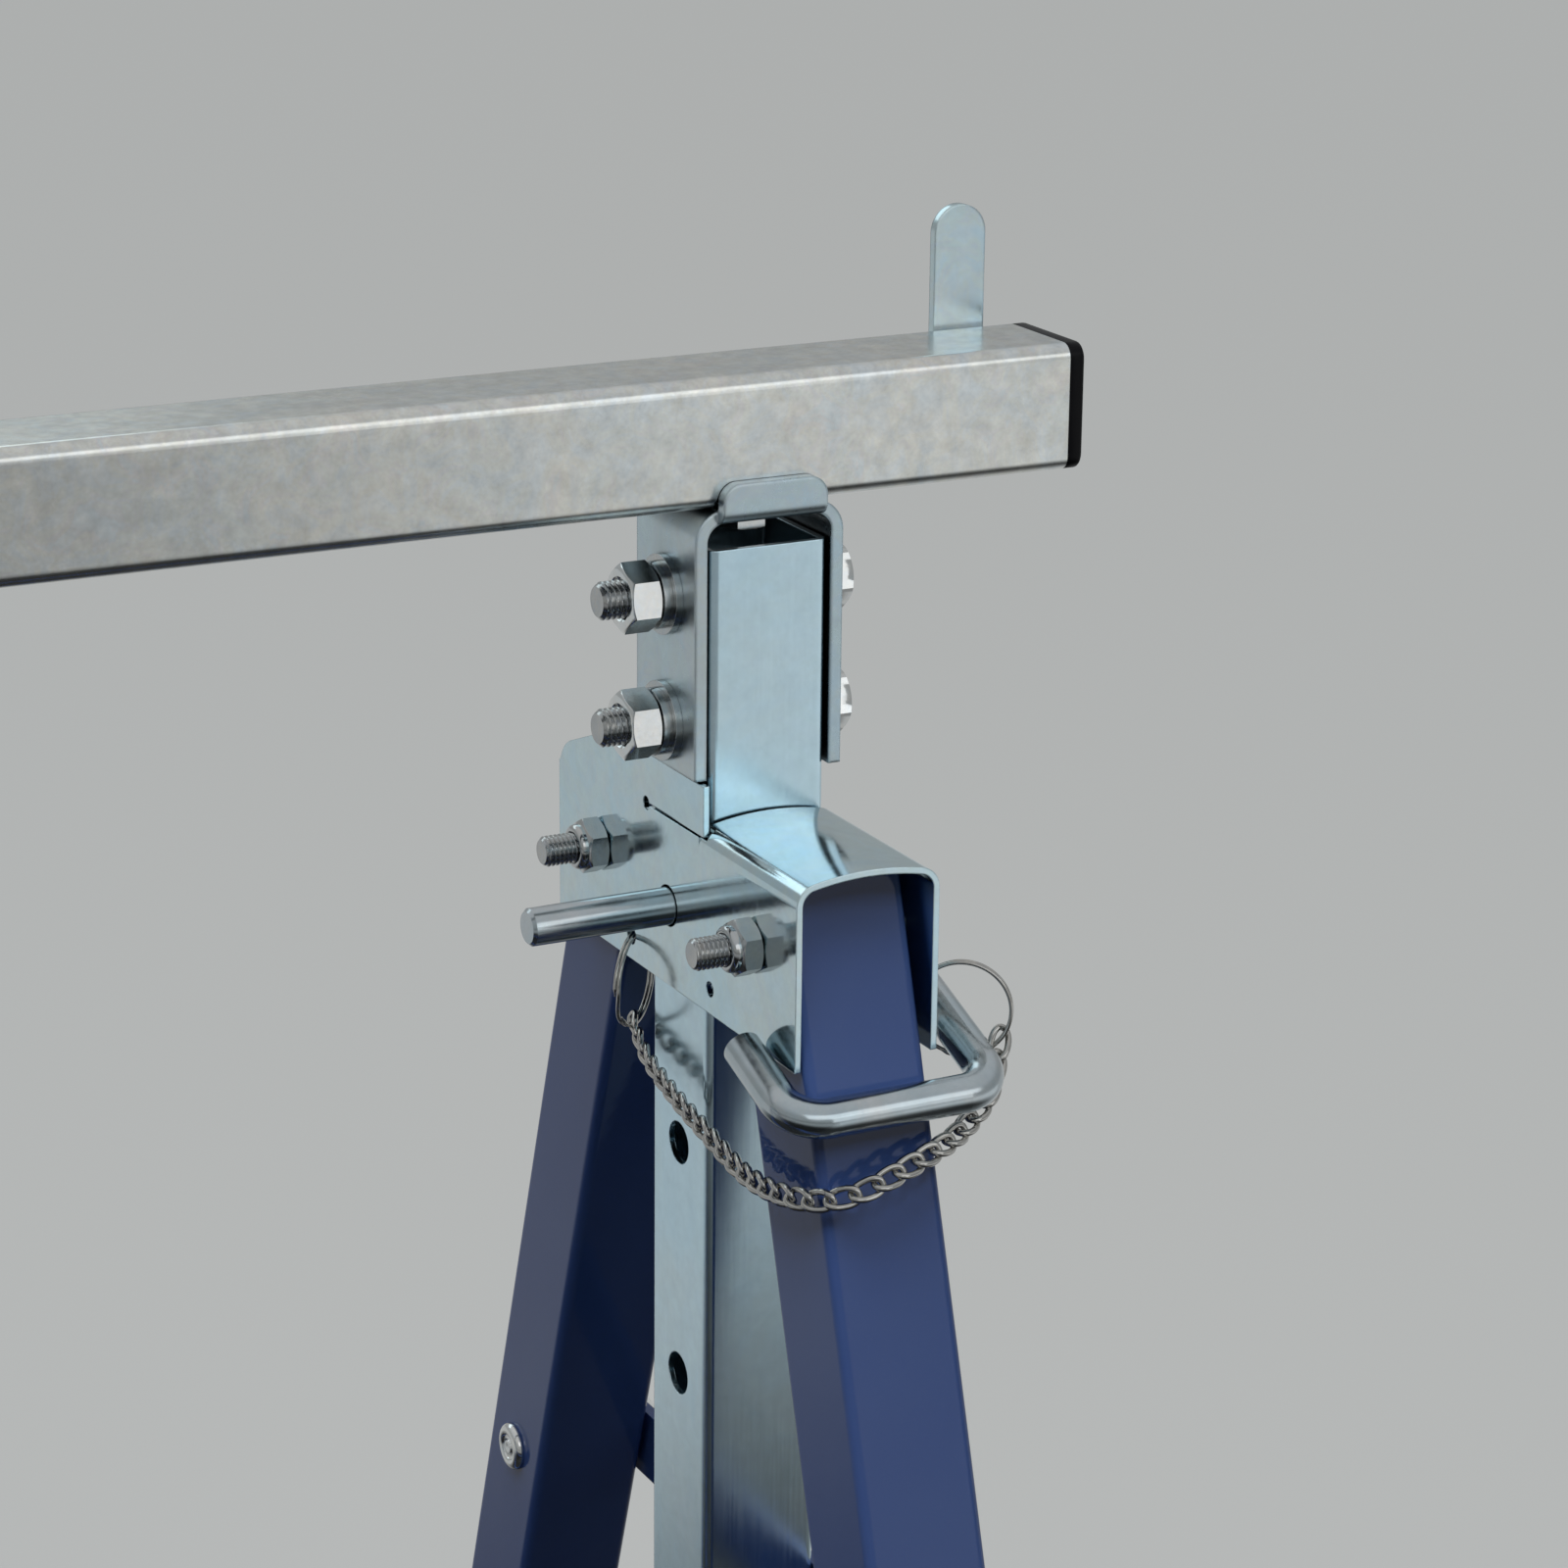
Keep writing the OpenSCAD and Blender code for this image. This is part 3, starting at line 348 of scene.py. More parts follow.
def finish_from(name, group, values, lift, metallic=0.0, soften=0.0, painted_shade_reach=0.0, **fixed):
    """Material whose group gives colour, roughness and height. In metres, lift is the height's depth,
    soften the radius that rounds off the light on edges, and the last setting how near a wall painted shade
    darkens the colour."""
    material = bpy.data.materials.new(name)
    material.use_nodes = True
    wire = Nodes(material.node_tree)
    links = material.node_tree.links
    shader = material.node_tree.nodes["Principled BSDF"]
    skin_node = wire.add("ShaderNodeGroup", node_tree=group)
    for key, value in values.items():
        skin_node.inputs[key].default_value = value
    bump = wire.add("ShaderNodeBump", {
        "Strength": 1.0, "Distance": lift, "Height": skin_node.outputs["Height"]})
    if soften:
        rounded = wire.add("ShaderNodeBevel", {"Radius": soften}, samples=6)
        links.new(rounded.outputs["Normal"], bump.inputs["Normal"])
    colour = skin_node.outputs["Color"]
    # Painted shade: an ambient occlusion mask darkens the base colour towards a dark tone near walls
    if painted_shade_reach:
        open_share = wire.add("ShaderNodeAmbientOcclusion", {"Distance": painted_shade_reach}, samples=8).outputs["AO"]
        colour = wire.mix(wire.spread(open_share, 0.15, 0.6), PAINTED_SHADE_TONE, colour)
    links.new(colour, shader.inputs["Base Color"])
    links.new(skin_node.outputs["Roughness"], shader.inputs["Roughness"])
    links.new(bump.outputs["Normal"], shader.inputs["Normal"])
    shader.inputs["Metallic"].default_value = metallic
    for key, value in fixed.items():
        shader.inputs[key.replace("_", " ")].default_value = value
    return material


def zinc(name, cool, warm, warmth, cloud, stain, lines, gloss, spread=0.08, lift=0.00001, soften=0.0,
         painted_shade_reach=0.0, mottle=0.06):
    """Zinc or nickel finish: two tints and how much of the warm one, scale of clouds, strength of stains,
    scale of drawing lines along each axis, and roughness with its spread."""
    return finish_from(name, ZINC_BLOOM, {
        "Cool": (*cool, 1), "Warm": (*warm, 1), "Warmth": warmth, "Cloud": cloud, "Stain": stain,
        "Lines": lines, "Gloss": gloss, "Spread": spread, "Mottle": mottle}, lift, 1.0, soften, painted_shade_reach)


ALONG_X = (260, 420, 420)
ALONG_Z = (900, 900, 30)
ROLLED = (500, 500, 500)
MACHINED = (700, 700, 700)
STAMPED = (900, 900, 900)
TURNED_X = (40, 800, 800)

zinc_beam = zinc(
    "zinc_beam", (0.755, 0.80, 0.815), (0.815, 0.815, 0.785), warmth=0.8, cloud=38, stain=0.4, lines=ALONG_X,
    gloss=0.24, spread=0.04, lift=0.000008, mottle=0.17)
# The post and the strap carry painted shade near walls, from their last setting
zinc_post = zinc(
    "zinc_post", (0.60, 0.80, 0.91), (0.66, 0.80, 0.87), warmth=0.6, cloud=12, stain=0.15, lines=ALONG_Z,
    gloss=0.22, spread=0.06, lift=0.000006, soften=0.0006, painted_shade_reach=0.03)
zinc_sheet = zinc(
    "zinc_sheet", (0.60, 0.79, 0.88), (0.69, 0.79, 0.82), warmth=0.7, cloud=22, stain=0.3, lines=ROLLED,
    gloss=0.12, spread=0.05, lift=0.000008, soften=0.0006)
zinc_strap = zinc(
    "zinc_strap", (0.54, 0.68, 0.76), (0.62, 0.68, 0.71), warmth=0.7, cloud=24, stain=0.35, lines=ROLLED,
    gloss=0.30, spread=0.05, soften=0.0014, painted_shade_reach=0.03)
zinc_tab = zinc(
    "zinc_tab", (0.58, 0.75, 0.84), (0.68, 0.75, 0.78), warmth=0.6, cloud=45, stain=0.45, lines=ALONG_Z,
    gloss=0.22, soften=0.001)
zinc_pin = zinc(
    "zinc_pin", (0.485, 0.57, 0.615), (0.60, 0.625, 0.645), warmth=0.7, cloud=30, stain=0.1, lines=TURNED_X,
    gloss=0.20)
zinc_bolt = zinc(
    "zinc_bolt", (0.72, 0.76, 0.78), (0.80, 0.79, 0.76), warmth=0.6, cloud=120, stain=0.2, lines=MACHINED,
    gloss=0.14)
zinc_thread = zinc(
    "zinc_thread", (0.46, 0.49, 0.51), (0.56, 0.56, 0.55), warmth=0.6, cloud=160, stain=0.3, lines=MACHINED,
    gloss=0.2)
zinc_washer = zinc(
    "zinc_washer", (0.50, 0.55, 0.58), (0.60, 0.60, 0.58), warmth=0.6, cloud=120, stain=0.3, lines=STAMPED,
    gloss=0.22, soften=0.0003)
zinc_nut = zinc(
    "zinc_nut", (0.50, 0.53, 0.55), (0.60, 0.60, 0.58), warmth=0.6, cloud=140, stain=0.2, lines=MACHINED,
    gloss=0.14)
nickel_wire = zinc(
    "nickel_wire", (0.44, 0.44, 0.43), (0.55, 0.54, 0.51), warmth=0.8, cloud=160, stain=0.1, lines=MACHINED,
    gloss=0.1, lift=0.000005)
navy_paint = finish_from("navy_paint", PAINT_SKIN, {
    "Tint": (0.040, 0.082, 0.255, 1), "Thin": (0.048, 0.092, 0.262, 1), "Gloss": 0.045, "Dust": 0.05},
    lift=0.00003, soften=0.0008, IOR=1.45, Specular_IOR_Level=0.3)
black_moulding = finish_from("black_moulding", MOULDING_GRAIN, {
    "Tint": (0.0025, 0.0025, 0.0035, 1)}, lift=0.00002, soften=0.0005, Specular_IOR_Level=0.12)
nylon_insert = finish_from("nylon_insert", MOULDING_GRAIN, {
    "Tint": (0.10, 0.11, 0.13, 1), "Gloss": 0.5}, lift=0.00002)

# Finish of each node, by the first of these that its name starts with
FINISHES = (
    ("top_beam", zinc_beam), ("beam_cap", black_moulding), ("stop_tab", zinc_tab),
    ("saddle_flat", zinc_washer), ("saddle_spring", zinc_washer), ("saddle_nuts", zinc_bolt),
    ("saddle_bolts", zinc_bolt), ("saddle", zinc_strap), ("beam_fixing", zinc_bolt),
    ("post", zinc_post), ("head", zinc_sheet), ("leg_", zinc_bolt), ("plate_ring", nickel_wire),
    ("handle_ring", nickel_wire), ("chain", nickel_wire), ("lock_pin", zinc_pin),
    ("front_foot", black_moulding), ("rear_foot", black_moulding), ("front_", navy_paint),
    ("rear_", navy_paint), ("stay_right", navy_paint), ("stay_left", navy_paint), ("stay_", zinc_bolt))

for node_name, node in nodes.items():
    coat = next(finish for start, finish in FINISHES if node_name.startswith(start))
    node.data.materials.clear()
    node.data.materials.append(coat)


# Bolts and nuts: width across flats, head, tip's face and tip's chamfer as shares of the size, the turned
# face's radius as a share of the flats, and the slope of the turned-down corners

FLATS = 1.6
HEAD_HEIGHT = 0.64
TIP_FACE = 0.62
TIP_CHAMFER = 0.11
FACE = 0.47
CHAMFER = math.tan(math.radians(28))


def hexagon(flats, cols=48):
    """Radius of a hexagon over the angle, with a corner at zero."""
    angle = np.arange(cols) * TURN / cols
    return flats / 2 / np.cos(np.mod(angle, TURN / 6) - TURN / 12)


def thread_rows(radius, pitch, low, high, tip, cols=48):
    """Screw thread: the radius falls and rises once per pitch along a line that climbs with the angle, and
    the tip's chamfer cuts it off at the low end."""
    angle = np.arange(cols) * TURN / cols
    heights = np.linspace(low, high, int(10 * (high - low) / pitch) + 1)
    rows = []
    for height in heights:
        phase = np.mod(height / pitch - angle / TURN, 1)
        groove = np.clip(1.3 * np.abs(2 * phase - 1) - 0.15, 0, 1)
        cut = radius - max(0.0, tip - (height - low))
        rows.append((np.minimum(radius - 0.55 * pitch * groove, cut), height))
    return rows


def bolt_shank(size, length, threaded, pitch):
    """Shank along Z that ends at zero: thread with a turned-off tip, then plain."""
    rows = [(TIP_FACE * size / 2, -length + 0.05)]
    rows += thread_rows(size / 2, pitch, -length, -length + threaded, TIP_CHAMFER * size)
    rows += [(size / 2, -length + threaded + 0.2), (size / 2, 0)]
    return turned(rows)


def bolt_head(size):
    """Head on zero and pointing up: hexagon with turned-down corners and a slightly dished face."""
    flats = FLATS * size
    head = HEAD_HEIGHT * size
    corner = hexagon(flats)
    face = FACE * flats
    edge = head - (corner - face) * CHAMFER
    rows = [(corner * 0.97, 0), (corner, 0.25), (corner, 0.5 * edge), (corner, edge - 0.05)]
    rows += [(face + (corner - face) * share, head - (corner - face) * share * CHAMFER)
             for share in (0.95, 0.5, 0.0)]
    rows += [(face - 0.5, head), (0.4 * face, head - 0.12)]
    return turned(rows)


def hex_nut(size, height):
    """Nut on zero: chamfered hexagon outside, countersunk bore inside."""
    flats = FLATS * size
    corner = hexagon(flats)
    face = FACE * flats
    rim = (corner - face) * CHAMFER
    bore = size / 2 + 0.1
    rows = [(face, 0), (corner - 0.1, rim), (corner, rim + 0.1), (corner, height / 2),
            (corner, height - rim - 0.1), (corner - 0.1, height - rim), (face, height),
            (bore + 0.9, height), (bore, height - 0.9), (bore, 0.9), (bore + 0.9, 0)]
    return turned(rows, close_rows=True)


# Locking nut: where its collar starts, as a share of the size, and the collar's radius, of the flats
LOCKING_TOP = 0.7
COLLAR = 0.455


def locking_nut(size):
    """Self-locking nut: hexagon with a rounded collar that is rolled in over a plastic ring."""
    flats = FLATS * size
    corner = hexagon(flats)
    face = FACE * flats
    rim = (corner - face) * CHAMFER
    top = LOCKING_TOP * size
    collar = COLLAR * flats
    roll = 1.7
    bore = size / 2 + 0.1
    rows = [(face, 0), (corner - 0.1, rim), (corner, rim + 0.1), (corner, top / 2), (corner, top - rim - 0.1),
            (corner - 0.1, top - rim), (collar + 0.25, top - 0.1), (collar, top + 0.1), (collar, top + 1.1)]
    rows += [(collar - roll + roll * math.cos(a), top + 1.1 + roll * math.sin(a))
             for a in np.radians((25, 50, 75, 90))]
    rows += [(collar - 2.0, top + 2.75), (collar - 2.2, top + 2.2), (bore + 0.9, top + 1.7),
             (bore, top + 0.9), (bore, 0.9), (bore + 0.9, 0)]
    return turned(rows, close_rows=True)


def plastic_ring(size):
    """Ring in a locking nut's collar, a little below its rolled edge."""
    outer = COLLAR * FLATS * size - 2.1
    bore = size / 2 + 0.12
    low = LOCKING_TOP * size + 1.0
    high = LOCKING_TOP * size + 2.3
    rows = [(outer, low), (outer, high), (outer - 0.5, high + 0.15), (bore + 0.3, high + 0.1),
            (bore, high - 0.3), (bore, low)]
    return turned(rows, close_rows=True)


def spun(degrees):
    """Turn about Z as a 3 by 3 matrix."""
    cosine = math.cos(math.radians(degrees))
    sine = math.sin(math.radians(degrees))
    return np.array([[cosine, -sine, 0], [sine, cosine, 0], [0, 0, 1]])


def at_places(shape, x, places):
    """The shape at each (y, z) place, at both ends."""
    return both_ends(joined([moved(shape, at=(x, *place)) for place in places]))


M12 = 12
M12_PITCH = 1.75
M10 = 10
M10_PITCH = 1.5
M8 = 8
M8_PITCH = 1.25

SADDLE_HEAD_TURN = 42
SADDLE_NUT_TURN = 7
SADDLE_NUT = M12 * 0.86
SADDLE_TIP = 7.5
FLAT_WASHER = M12 * 0.2
SPRING_WASHER = M12 * 0.24
SADDLE_HEAD_X = SADDLE_HALF + FLAT_WASHER
SADDLE_NUT_X = SADDLE_HALF + FLAT_WASHER + SPRING_WASHER
SADDLE_LENGTH = SADDLE_HEAD_X + SADDLE_NUT_X + SADDLE_NUT + SADDLE_TIP
SADDLE_THREAD = 19
SADDLE_BOLTS = [(0, z) for z in SADDLE_BOLT_Z]
saddle_head = moved(moved(bolt_head(M12), spun(SADDLE_HEAD_TURN)), OUTWARD)
saddle_shank = moved(bolt_shank(M12, SADDLE_LENGTH, SADDLE_THREAD, M12_PITCH), OUTWARD)
saddle_nut = moved(moved(hex_nut(M12, SADDLE_NUT), spun(SADDLE_NUT_TURN)), INWARD)
piece("saddle_bolt_heads", at_places(saddle_head, SADDLE_HEAD_X, SADDLE_BOLTS), zinc_bolt, "mast",
      ["saddle_bolts"])
piece("saddle_bolt_threads", at_places(saddle_shank, SADDLE_HEAD_X, SADDLE_BOLTS), zinc_thread, "mast")
piece("chamfered_saddle_nuts", at_places(saddle_nut, -SADDLE_NUT_X, SADDLE_BOLTS), zinc_bolt, "mast",
      ["saddle_nuts"])

LEG_LENGTH = 2 * HEAD_HALF + 20.5
LEG_THREAD = 22
LEG_BOLTS = [(y, LEG_BOLT_Z) for y in (FRONT_PIVOT, REAR_PIVOT)]
leg_head = moved(bolt_head(M10), OUTWARD)
leg_shank = moved(bolt_shank(M10, LEG_LENGTH, LEG_THREAD, M10_PITCH), OUTWARD)
leg_nut = moved(locking_nut(M10), INWARD)
leg_insert = moved(plastic_ring(M10), INWARD)
piece("leg_bolt_heads", at_places(leg_head, HEAD_HALF, LEG_BOLTS), zinc_bolt, "heads",
      ["leg_bolts"])
piece("leg_bolt_threads", at_places(leg_shank, HEAD_HALF, LEG_BOLTS), zinc_thread, "heads")
piece("collared_leg_nuts", at_places(leg_nut, -HEAD_HALF, LEG_BOLTS), zinc_nut, "heads",
      ["leg_nuts"])
piece("leg_nut_inserts", at_places(leg_insert, -HEAD_HALF, LEG_BOLTS), nylon_insert, "heads")


def tubular_rivet_bolt(size, length, threaded, pitch):
    """Stay's pivot: thread, shank, and a low head whose rolled rim stands round a dished middle."""
    rows = [(TIP_FACE * size / 2, -length + 0.05)]
    rows += thread_rows(size / 2, pitch, -length, -length + threaded, TIP_CHAMFER * size)
    rows += [(size / 2, -length + threaded + 0.2), (size / 2, 0), (8.2, 0), (8.4, 0.3), (8.4, 0.9)]
    rows += [(5.9 + 2.5 * math.cos(a), 0.9 + 2.2 * math.sin(a)) for a in np.radians((20, 45, 65, 80, 90))]
    rows += [(5.2, 3.0), (4.7, 2.7), (4.4, 2.2), (3.2, 2.0), (2.7, 2.2), (2.4, 2.75), (1.6, 2.9), (0.8, 2.6)]
    return turned(rows)


STAY_LENGTH = STAY_OUTER - LEG_INNER + 8.8
STAY_THREAD = 12
stay_bolt = moved(tubular_rivet_bolt(M8, STAY_LENGTH, STAY_THREAD, M8_PITCH), INWARD)
piece("rimmed_stay_bolts", at_places(stay_bolt, LEG_INNER, [(STAY_Y, STAY_Z)]), zinc_bolt, "rear_frame",
      ["stay_pivot_bolts"])


# Split rings and chains

def ring_wire_shape(turn, centre, start):
    """Split ring: wire wound nearly twice round, stepping from one turn to the next beside its own ends."""
    count = 220
    gap = math.radians(16)
    angle = np.linspace(gap, 2 * TURN - gap, count)
    step = np.clip((angle - (TURN - 0.4)) / 0.8, 0, 1)
    side = (step * step * (3 - 2 * step) - 0.5) * (RING_WIRE - 0.06)
    spoke = np.stack([np.cos(angle + start) * math.cos(turn), np.cos(angle + start) * math.sin(turn),
                      np.sin(angle + start)], -1)
    axle = np.array([-math.sin(turn), math.cos(turn), 0.0])
    path = centre + RING_RADIUS * spoke + side[:, None] * axle
    round_angle = np.arange(12) * TURN / 12
    from_end = np.minimum(np.arange(count), count - 1 - np.arange(count))
    wire = 0.5 * RING_WIRE * np.clip(from_end / 3, 0.35, 1)[:, None]
    outline = np.stack([np.cos(round_angle) * wire, np.sin(round_angle) * wire], -1)
    across = np.broadcast_to(axle, path.shape)
    return swept(path, across, spoke, outline)


plate_ring = ring_wire_shape(PLATE_RING_TURN, PLATE_RING, math.radians(200))
handle_ring = ring_wire_shape(HANDLE_RING_TURN, HANDLE_RING, math.radians(228))
for side, end in (("right", right_end), ("left", left_end)):
    piece("wound_plate_ring_" + side, end(plate_ring), nickel_wire, "ring_" + side,
          ["plate_ring_" + side], sharp=60)
    piece("wound_handle_ring_" + side, end(handle_ring), nickel_wire, "pin_" + side,
          ["handle_ring_" + side], sharp=60)


def before_leg(drop, gap):
    """Y of a point at a gap before the front leg's face, at a drop below the pin."""
    middle = FRONT_PIVOT - (LEG_BOLT_Z - PIN_Z + drop) * FRONT_SLOPE
    return middle - LEG_HALF * math.hypot(1, FRONT_SLOPE) - gap


def chain_route():
    """The chain's line from ring to ring: a smooth curve through the same places as in the solids."""
    reach = math.cos(CHAIN_HOLD)
    hold = np.array([math.cos(HANDLE_RING_TURN) * reach, math.sin(HANDLE_RING_TURN) * reach,
                     math.sin(CHAIN_HOLD)])
    end = HANDLE_RING + RING_RADIUS * hold
    wall = -28.0
    places = np.array([
        PLATE_RING - [0, 0, RING_RADIUS],
        [wall + 3.5, 19, PIN_Z - 51.5], [wall + 2, 9, PIN_Z - 54.5], [wall + 0.5, -12, PIN_Z - 58.5],
        [wall, -34, PIN_Z - 62], [wall, -55, PIN_Z - 65.5], [wall - 0.5, -70, PIN_Z - 65.5],
        [wall - 0.3, -82, PIN_Z - 64.2], [wall + 1.2, before_leg(62.6, -7.1), PIN_Z - 62.6],
        [wall + 5, before_leg(60.8, 2.4), PIN_Z - 60.8], [wall + 11.5, before_leg(58.5, 8.8), PIN_Z - 58.5],
        [wall + 20, before_leg(55.5, 11.7), PIN_Z - 55.5], [wall + 30, before_leg(52.5, 11.7), PIN_Z - 52.5],
        [wall + 40, before_leg(50.5, 9.5), PIN_Z - 50.5],
        [LEG_OUTER + 3.3, before_leg(49.5, 4.9), PIN_Z - 49.5],
        [HANDLE_OUT - 6, BAR_Y + 5.5, PIN_Z - 47.5], [HANDLE_OUT + 4, BAR_Y + 12, PIN_Z - 42], end])
    padded = np.vstack([places[:1], places, places[-1:]])
    share = np.linspace(0, 1, 12, endpoint=False)[:, None]
    spans = []
    for a, b, c, d in zip(padded[:-3], padded[1:-2], padded[2:-1], padded[3:]):
        spans.append(0.5 * (2 * b + (c - a) * share + (2 * a - 5 * b + 4 * c - d) * share ** 2
                            + (3 * b - a - 3 * c + d) * share ** 3))
    return np.vstack([*spans, places[-1:]])


LINK_WIRE = 1.05
LINK_HALF = 5.05
LINK_WIDE = 2.7
LINK_TWIST = math.radians(62)
LINK_OVAL = 0.78
LINK_STEP = 7.9
CHAIN_ROLL = math.radians(40)


def curb_link():
    """Link of a curb chain along X: an oval wire loop whose ends are twisted against each other."""
    angle = np.arange(40) * TURN / 40
    x = LINK_HALF * np.sign(np.cos(angle)) * np.abs(np.cos(angle)) ** LINK_OVAL
    y = LINK_WIDE * np.sign(np.sin(angle)) * np.abs(np.sin(angle)) ** LINK_OVAL
    twist = LINK_TWIST * x / (2 * LINK_HALF)
    path = np.stack([x, y * np.cos(twist), y * np.sin(twist)], -1)
    ahead = np.roll(path, -1, 0) - np.roll(path, 1, 0)
    ahead /= np.linalg.norm(ahead, axis=1)[:, None]
    up = np.stack([np.zeros_like(x), -np.sin(twist), np.cos(twist)], -1)
    across = np.cross(up, ahead)
    across /= np.linalg.norm(across, axis=1)[:, None]
    up = np.cross(ahead, across)
    round_angle = np.arange(10) * TURN / 10
    outline = LINK_WIRE * np.stack([np.cos(round_angle), np.sin(round_angle)], -1)
    return swept(path, up, across, outline, close=True)


def curb_chain(roll_start, roll_end):
    """Links at even steps along the route; each link's face is carried over from the one before, and the
    whole chain is rolled a little further at every link."""
    route = chain_route()
    runs = np.concatenate([[0], np.cumsum(np.linalg.norm(np.diff(route, axis=0), axis=1))])

    def at(run):
        return np.stack([np.interp(run, runs, route[:, axis]) for axis in range(3)], -1)

    hang = 1.4
    count = math.ceil((runs[-1] - 2 * hang) / LINK_STEP) + 1
    places = np.linspace(hang, runs[-1] - hang, count)
    step = places[1] - places[0]
    axes = at(places + step / 2) - at(places - step / 2)
    axes /= np.linalg.norm(axes, axis=1)[:, None]
    face = np.array([math.cos(PLATE_RING_TURN), math.sin(PLATE_RING_TURN), 0.0])
    link = curb_link()
    links = []
    for i, (axis, place) in enumerate(zip(axes, at(places))):
        face = face - (face @ axis) * axis
        face /= np.linalg.norm(face)
        roll = roll_start + (roll_end - roll_start) * i / (count - 1)
        normal = math.cos(roll) * face + math.sin(roll) * np.cross(axis, face)
        links.append(moved(link, np.stack([axis, np.cross(normal, axis), normal], -1), place))
    return joined(links)


chain = curb_chain(CHAIN_ROLL, 0.0)
chain_ends = chain_route()[[0, -1]]
for side, end in (("right", right_end), ("left", left_end)):
    links = piece("curb_chain_" + side, end(chain), nickel_wire, None, ["chain_" + side],
                  sharp=60)
    ends = end((chain_ends, []))[0] * MM
    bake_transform(links)


# End caps

def rounded_square(size, corner, per_corner=8):
    """Outline of a square with round corners, anticlockwise."""
    angle = np.concatenate([np.linspace(q, q + 1, per_corner) for q in range(4)]) * TURN / 4
    quarters = np.array([[1, 1], [-1, 1], [-1, -1], [1, -1]])
    middle = np.repeat(quarters, per_corner, axis=0) * (size / 2 - corner)
    return middle + corner * np.stack([np.cos(angle), np.sin(angle)], -1)


def beam_cap():
    """Cap along Z: plug, flange and rounded rim, with a face that is dished a little inside its border."""
    plug = 35.8
    rim = 1.4
    rows = [(plug, BEAM_ROUND - 2, -18.0), (plug, BEAM_ROUND - 2, -0.1), (39.6, BEAM_ROUND - 0.2, 0.0),
            (BEAM_SIZE, BEAM_ROUND, 0.3), (BEAM_SIZE, BEAM_ROUND, CAP_LIP - rim)]
    rows += [(BEAM_SIZE - 2.6 * (1 - math.cos(a)), BEAM_ROUND, CAP_LIP - rim + rim * math.sin(a))
             for a in np.radians((20, 40, 60, 80, 90))]
    rows += [(32.5, 2.5, CAP_LIP), (31.5, 2.2, CAP_LIP - 0.5), (12.0, 1.5, CAP_LIP - 0.6)]
    points = []
    for size, corner, height in rows:
        outline = rounded_square(size, corner)
        points.append(np.column_stack([outline, np.full(len(outline), height)]))
    return moved(skin(np.stack(points)), OUTWARD, (BEAM_END, 0, BEAM_SIZE / 2))


for side, end in (("right", right_end), ("left", left_end)):
    piece("moulded_cap_" + side, end(beam_cap()), black_moulding, "mast",
          ["beam_cap_" + side])


# Weld beads

SIDEWAYS = np.array([1.0, 0, 0])
TAB_BEAD_LOW = 6
TAB_BEAD_HIGH = 34


def bead(path, normal, side, radius, pitch, closed):
    """Weld bead along a path: a half-sunk round cord whose thickness ripples once per pitch."""
    runs = np.concatenate([[0], np.cumsum(np.linalg.norm(np.diff(path, axis=0), axis=1))])
    size = radius * (1 + 0.12 * np.sin(TURN * runs / pitch))
    round_angle = np.arange(10) * TURN / 10
    outline = size[:, None, None] * np.stack([np.cos(round_angle), np.sin(round_angle)], -1)[None]
    return swept(path, np.broadcast_to(side, path.shape), normal, outline, closed)


def tube_end_bead(slope, pivot, sign):
    """Bead round a cross tube where it meets the leg's inner face."""
    around = np.linspace(0, 1, 241)[:-1]
    outline = rounded_square(CROSS_SIZE, 3.0, 6)
    closed = np.vstack([outline, outline[:1]])
    runs = np.concatenate([[0], np.cumsum(np.linalg.norm(np.diff(closed, axis=0), axis=1))])
    flat = np.stack([np.interp(around * runs[-1], runs, closed[:, k]) for k in range(2)], -1)
    tilt = math.atan(slope) * sign
    along = np.array([0, math.sin(tilt), -math.cos(tilt)])
    out = np.array([0, math.cos(tilt), math.sin(tilt)])
    middle = np.array([LEG_INNER, pivot, LEG_BOLT_Z]) + along * CROSS_DROP / math.cos(tilt)
    path = middle + flat[:, :1] * out + flat[:, 1:] * along
    radial = path - middle
    radial /= np.linalg.norm(radial, axis=1)[:, None]
    return bead(path, radial, SIDEWAYS, radius=2.0, pitch=3.0, closed=True)


LEG_FRAMES = (("front", FRONT_SLOPE, FRONT_PIVOT, -1), ("rear", REAR_SLOPE, REAR_PIVOT, 1))
for part, slope, pivot, sign in LEG_FRAMES:
    piece(part + "_tube_welds", both_ends(tube_end_bead(slope, pivot, sign)), navy_paint, part + "_frame",
          sharp=70)


def tab_bead(x):
    """Bead down one edge of a stop tab, on the beam's back."""
    count = 60
    back = np.full(count, BEAM_SIZE / 2 + 0.4)
    path = np.column_stack([np.full(count, x), back, np.linspace(TAB_BEAD_LOW, TAB_BEAD_HIGH, count)])
    out = np.broadcast_to(np.array([0.0, 1.0, 0.0]), path.shape)
    return bead(path, out, SIDEWAYS, radius=1.6, pitch=2.4, closed=False)


for side, end in (("right", right_end), ("left", left_end)):
    beads = joined([tab_bead(TAB_X + edge * TAB_WIDTH / 2) for edge in (-1, 1)])
    piece("tab_welds_" + side, end(beads), zinc_tab, "mast", sharp=70)


# Studio: floor, light and camera

FLOOR_TONE = (0.380, 0.391, 0.387)
FLOOR_LIT = (0.12, 0.12, 0.12)
FLOOR_BOUNCE = (0.03, 0.03, 0.03)
FLOOR_MIRRORED = (0.98, 1.0, 1.0)
FAR_FLOOR_TONE = (0.415, 0.428, 0.423)
HALF_FLOOR = 40.0


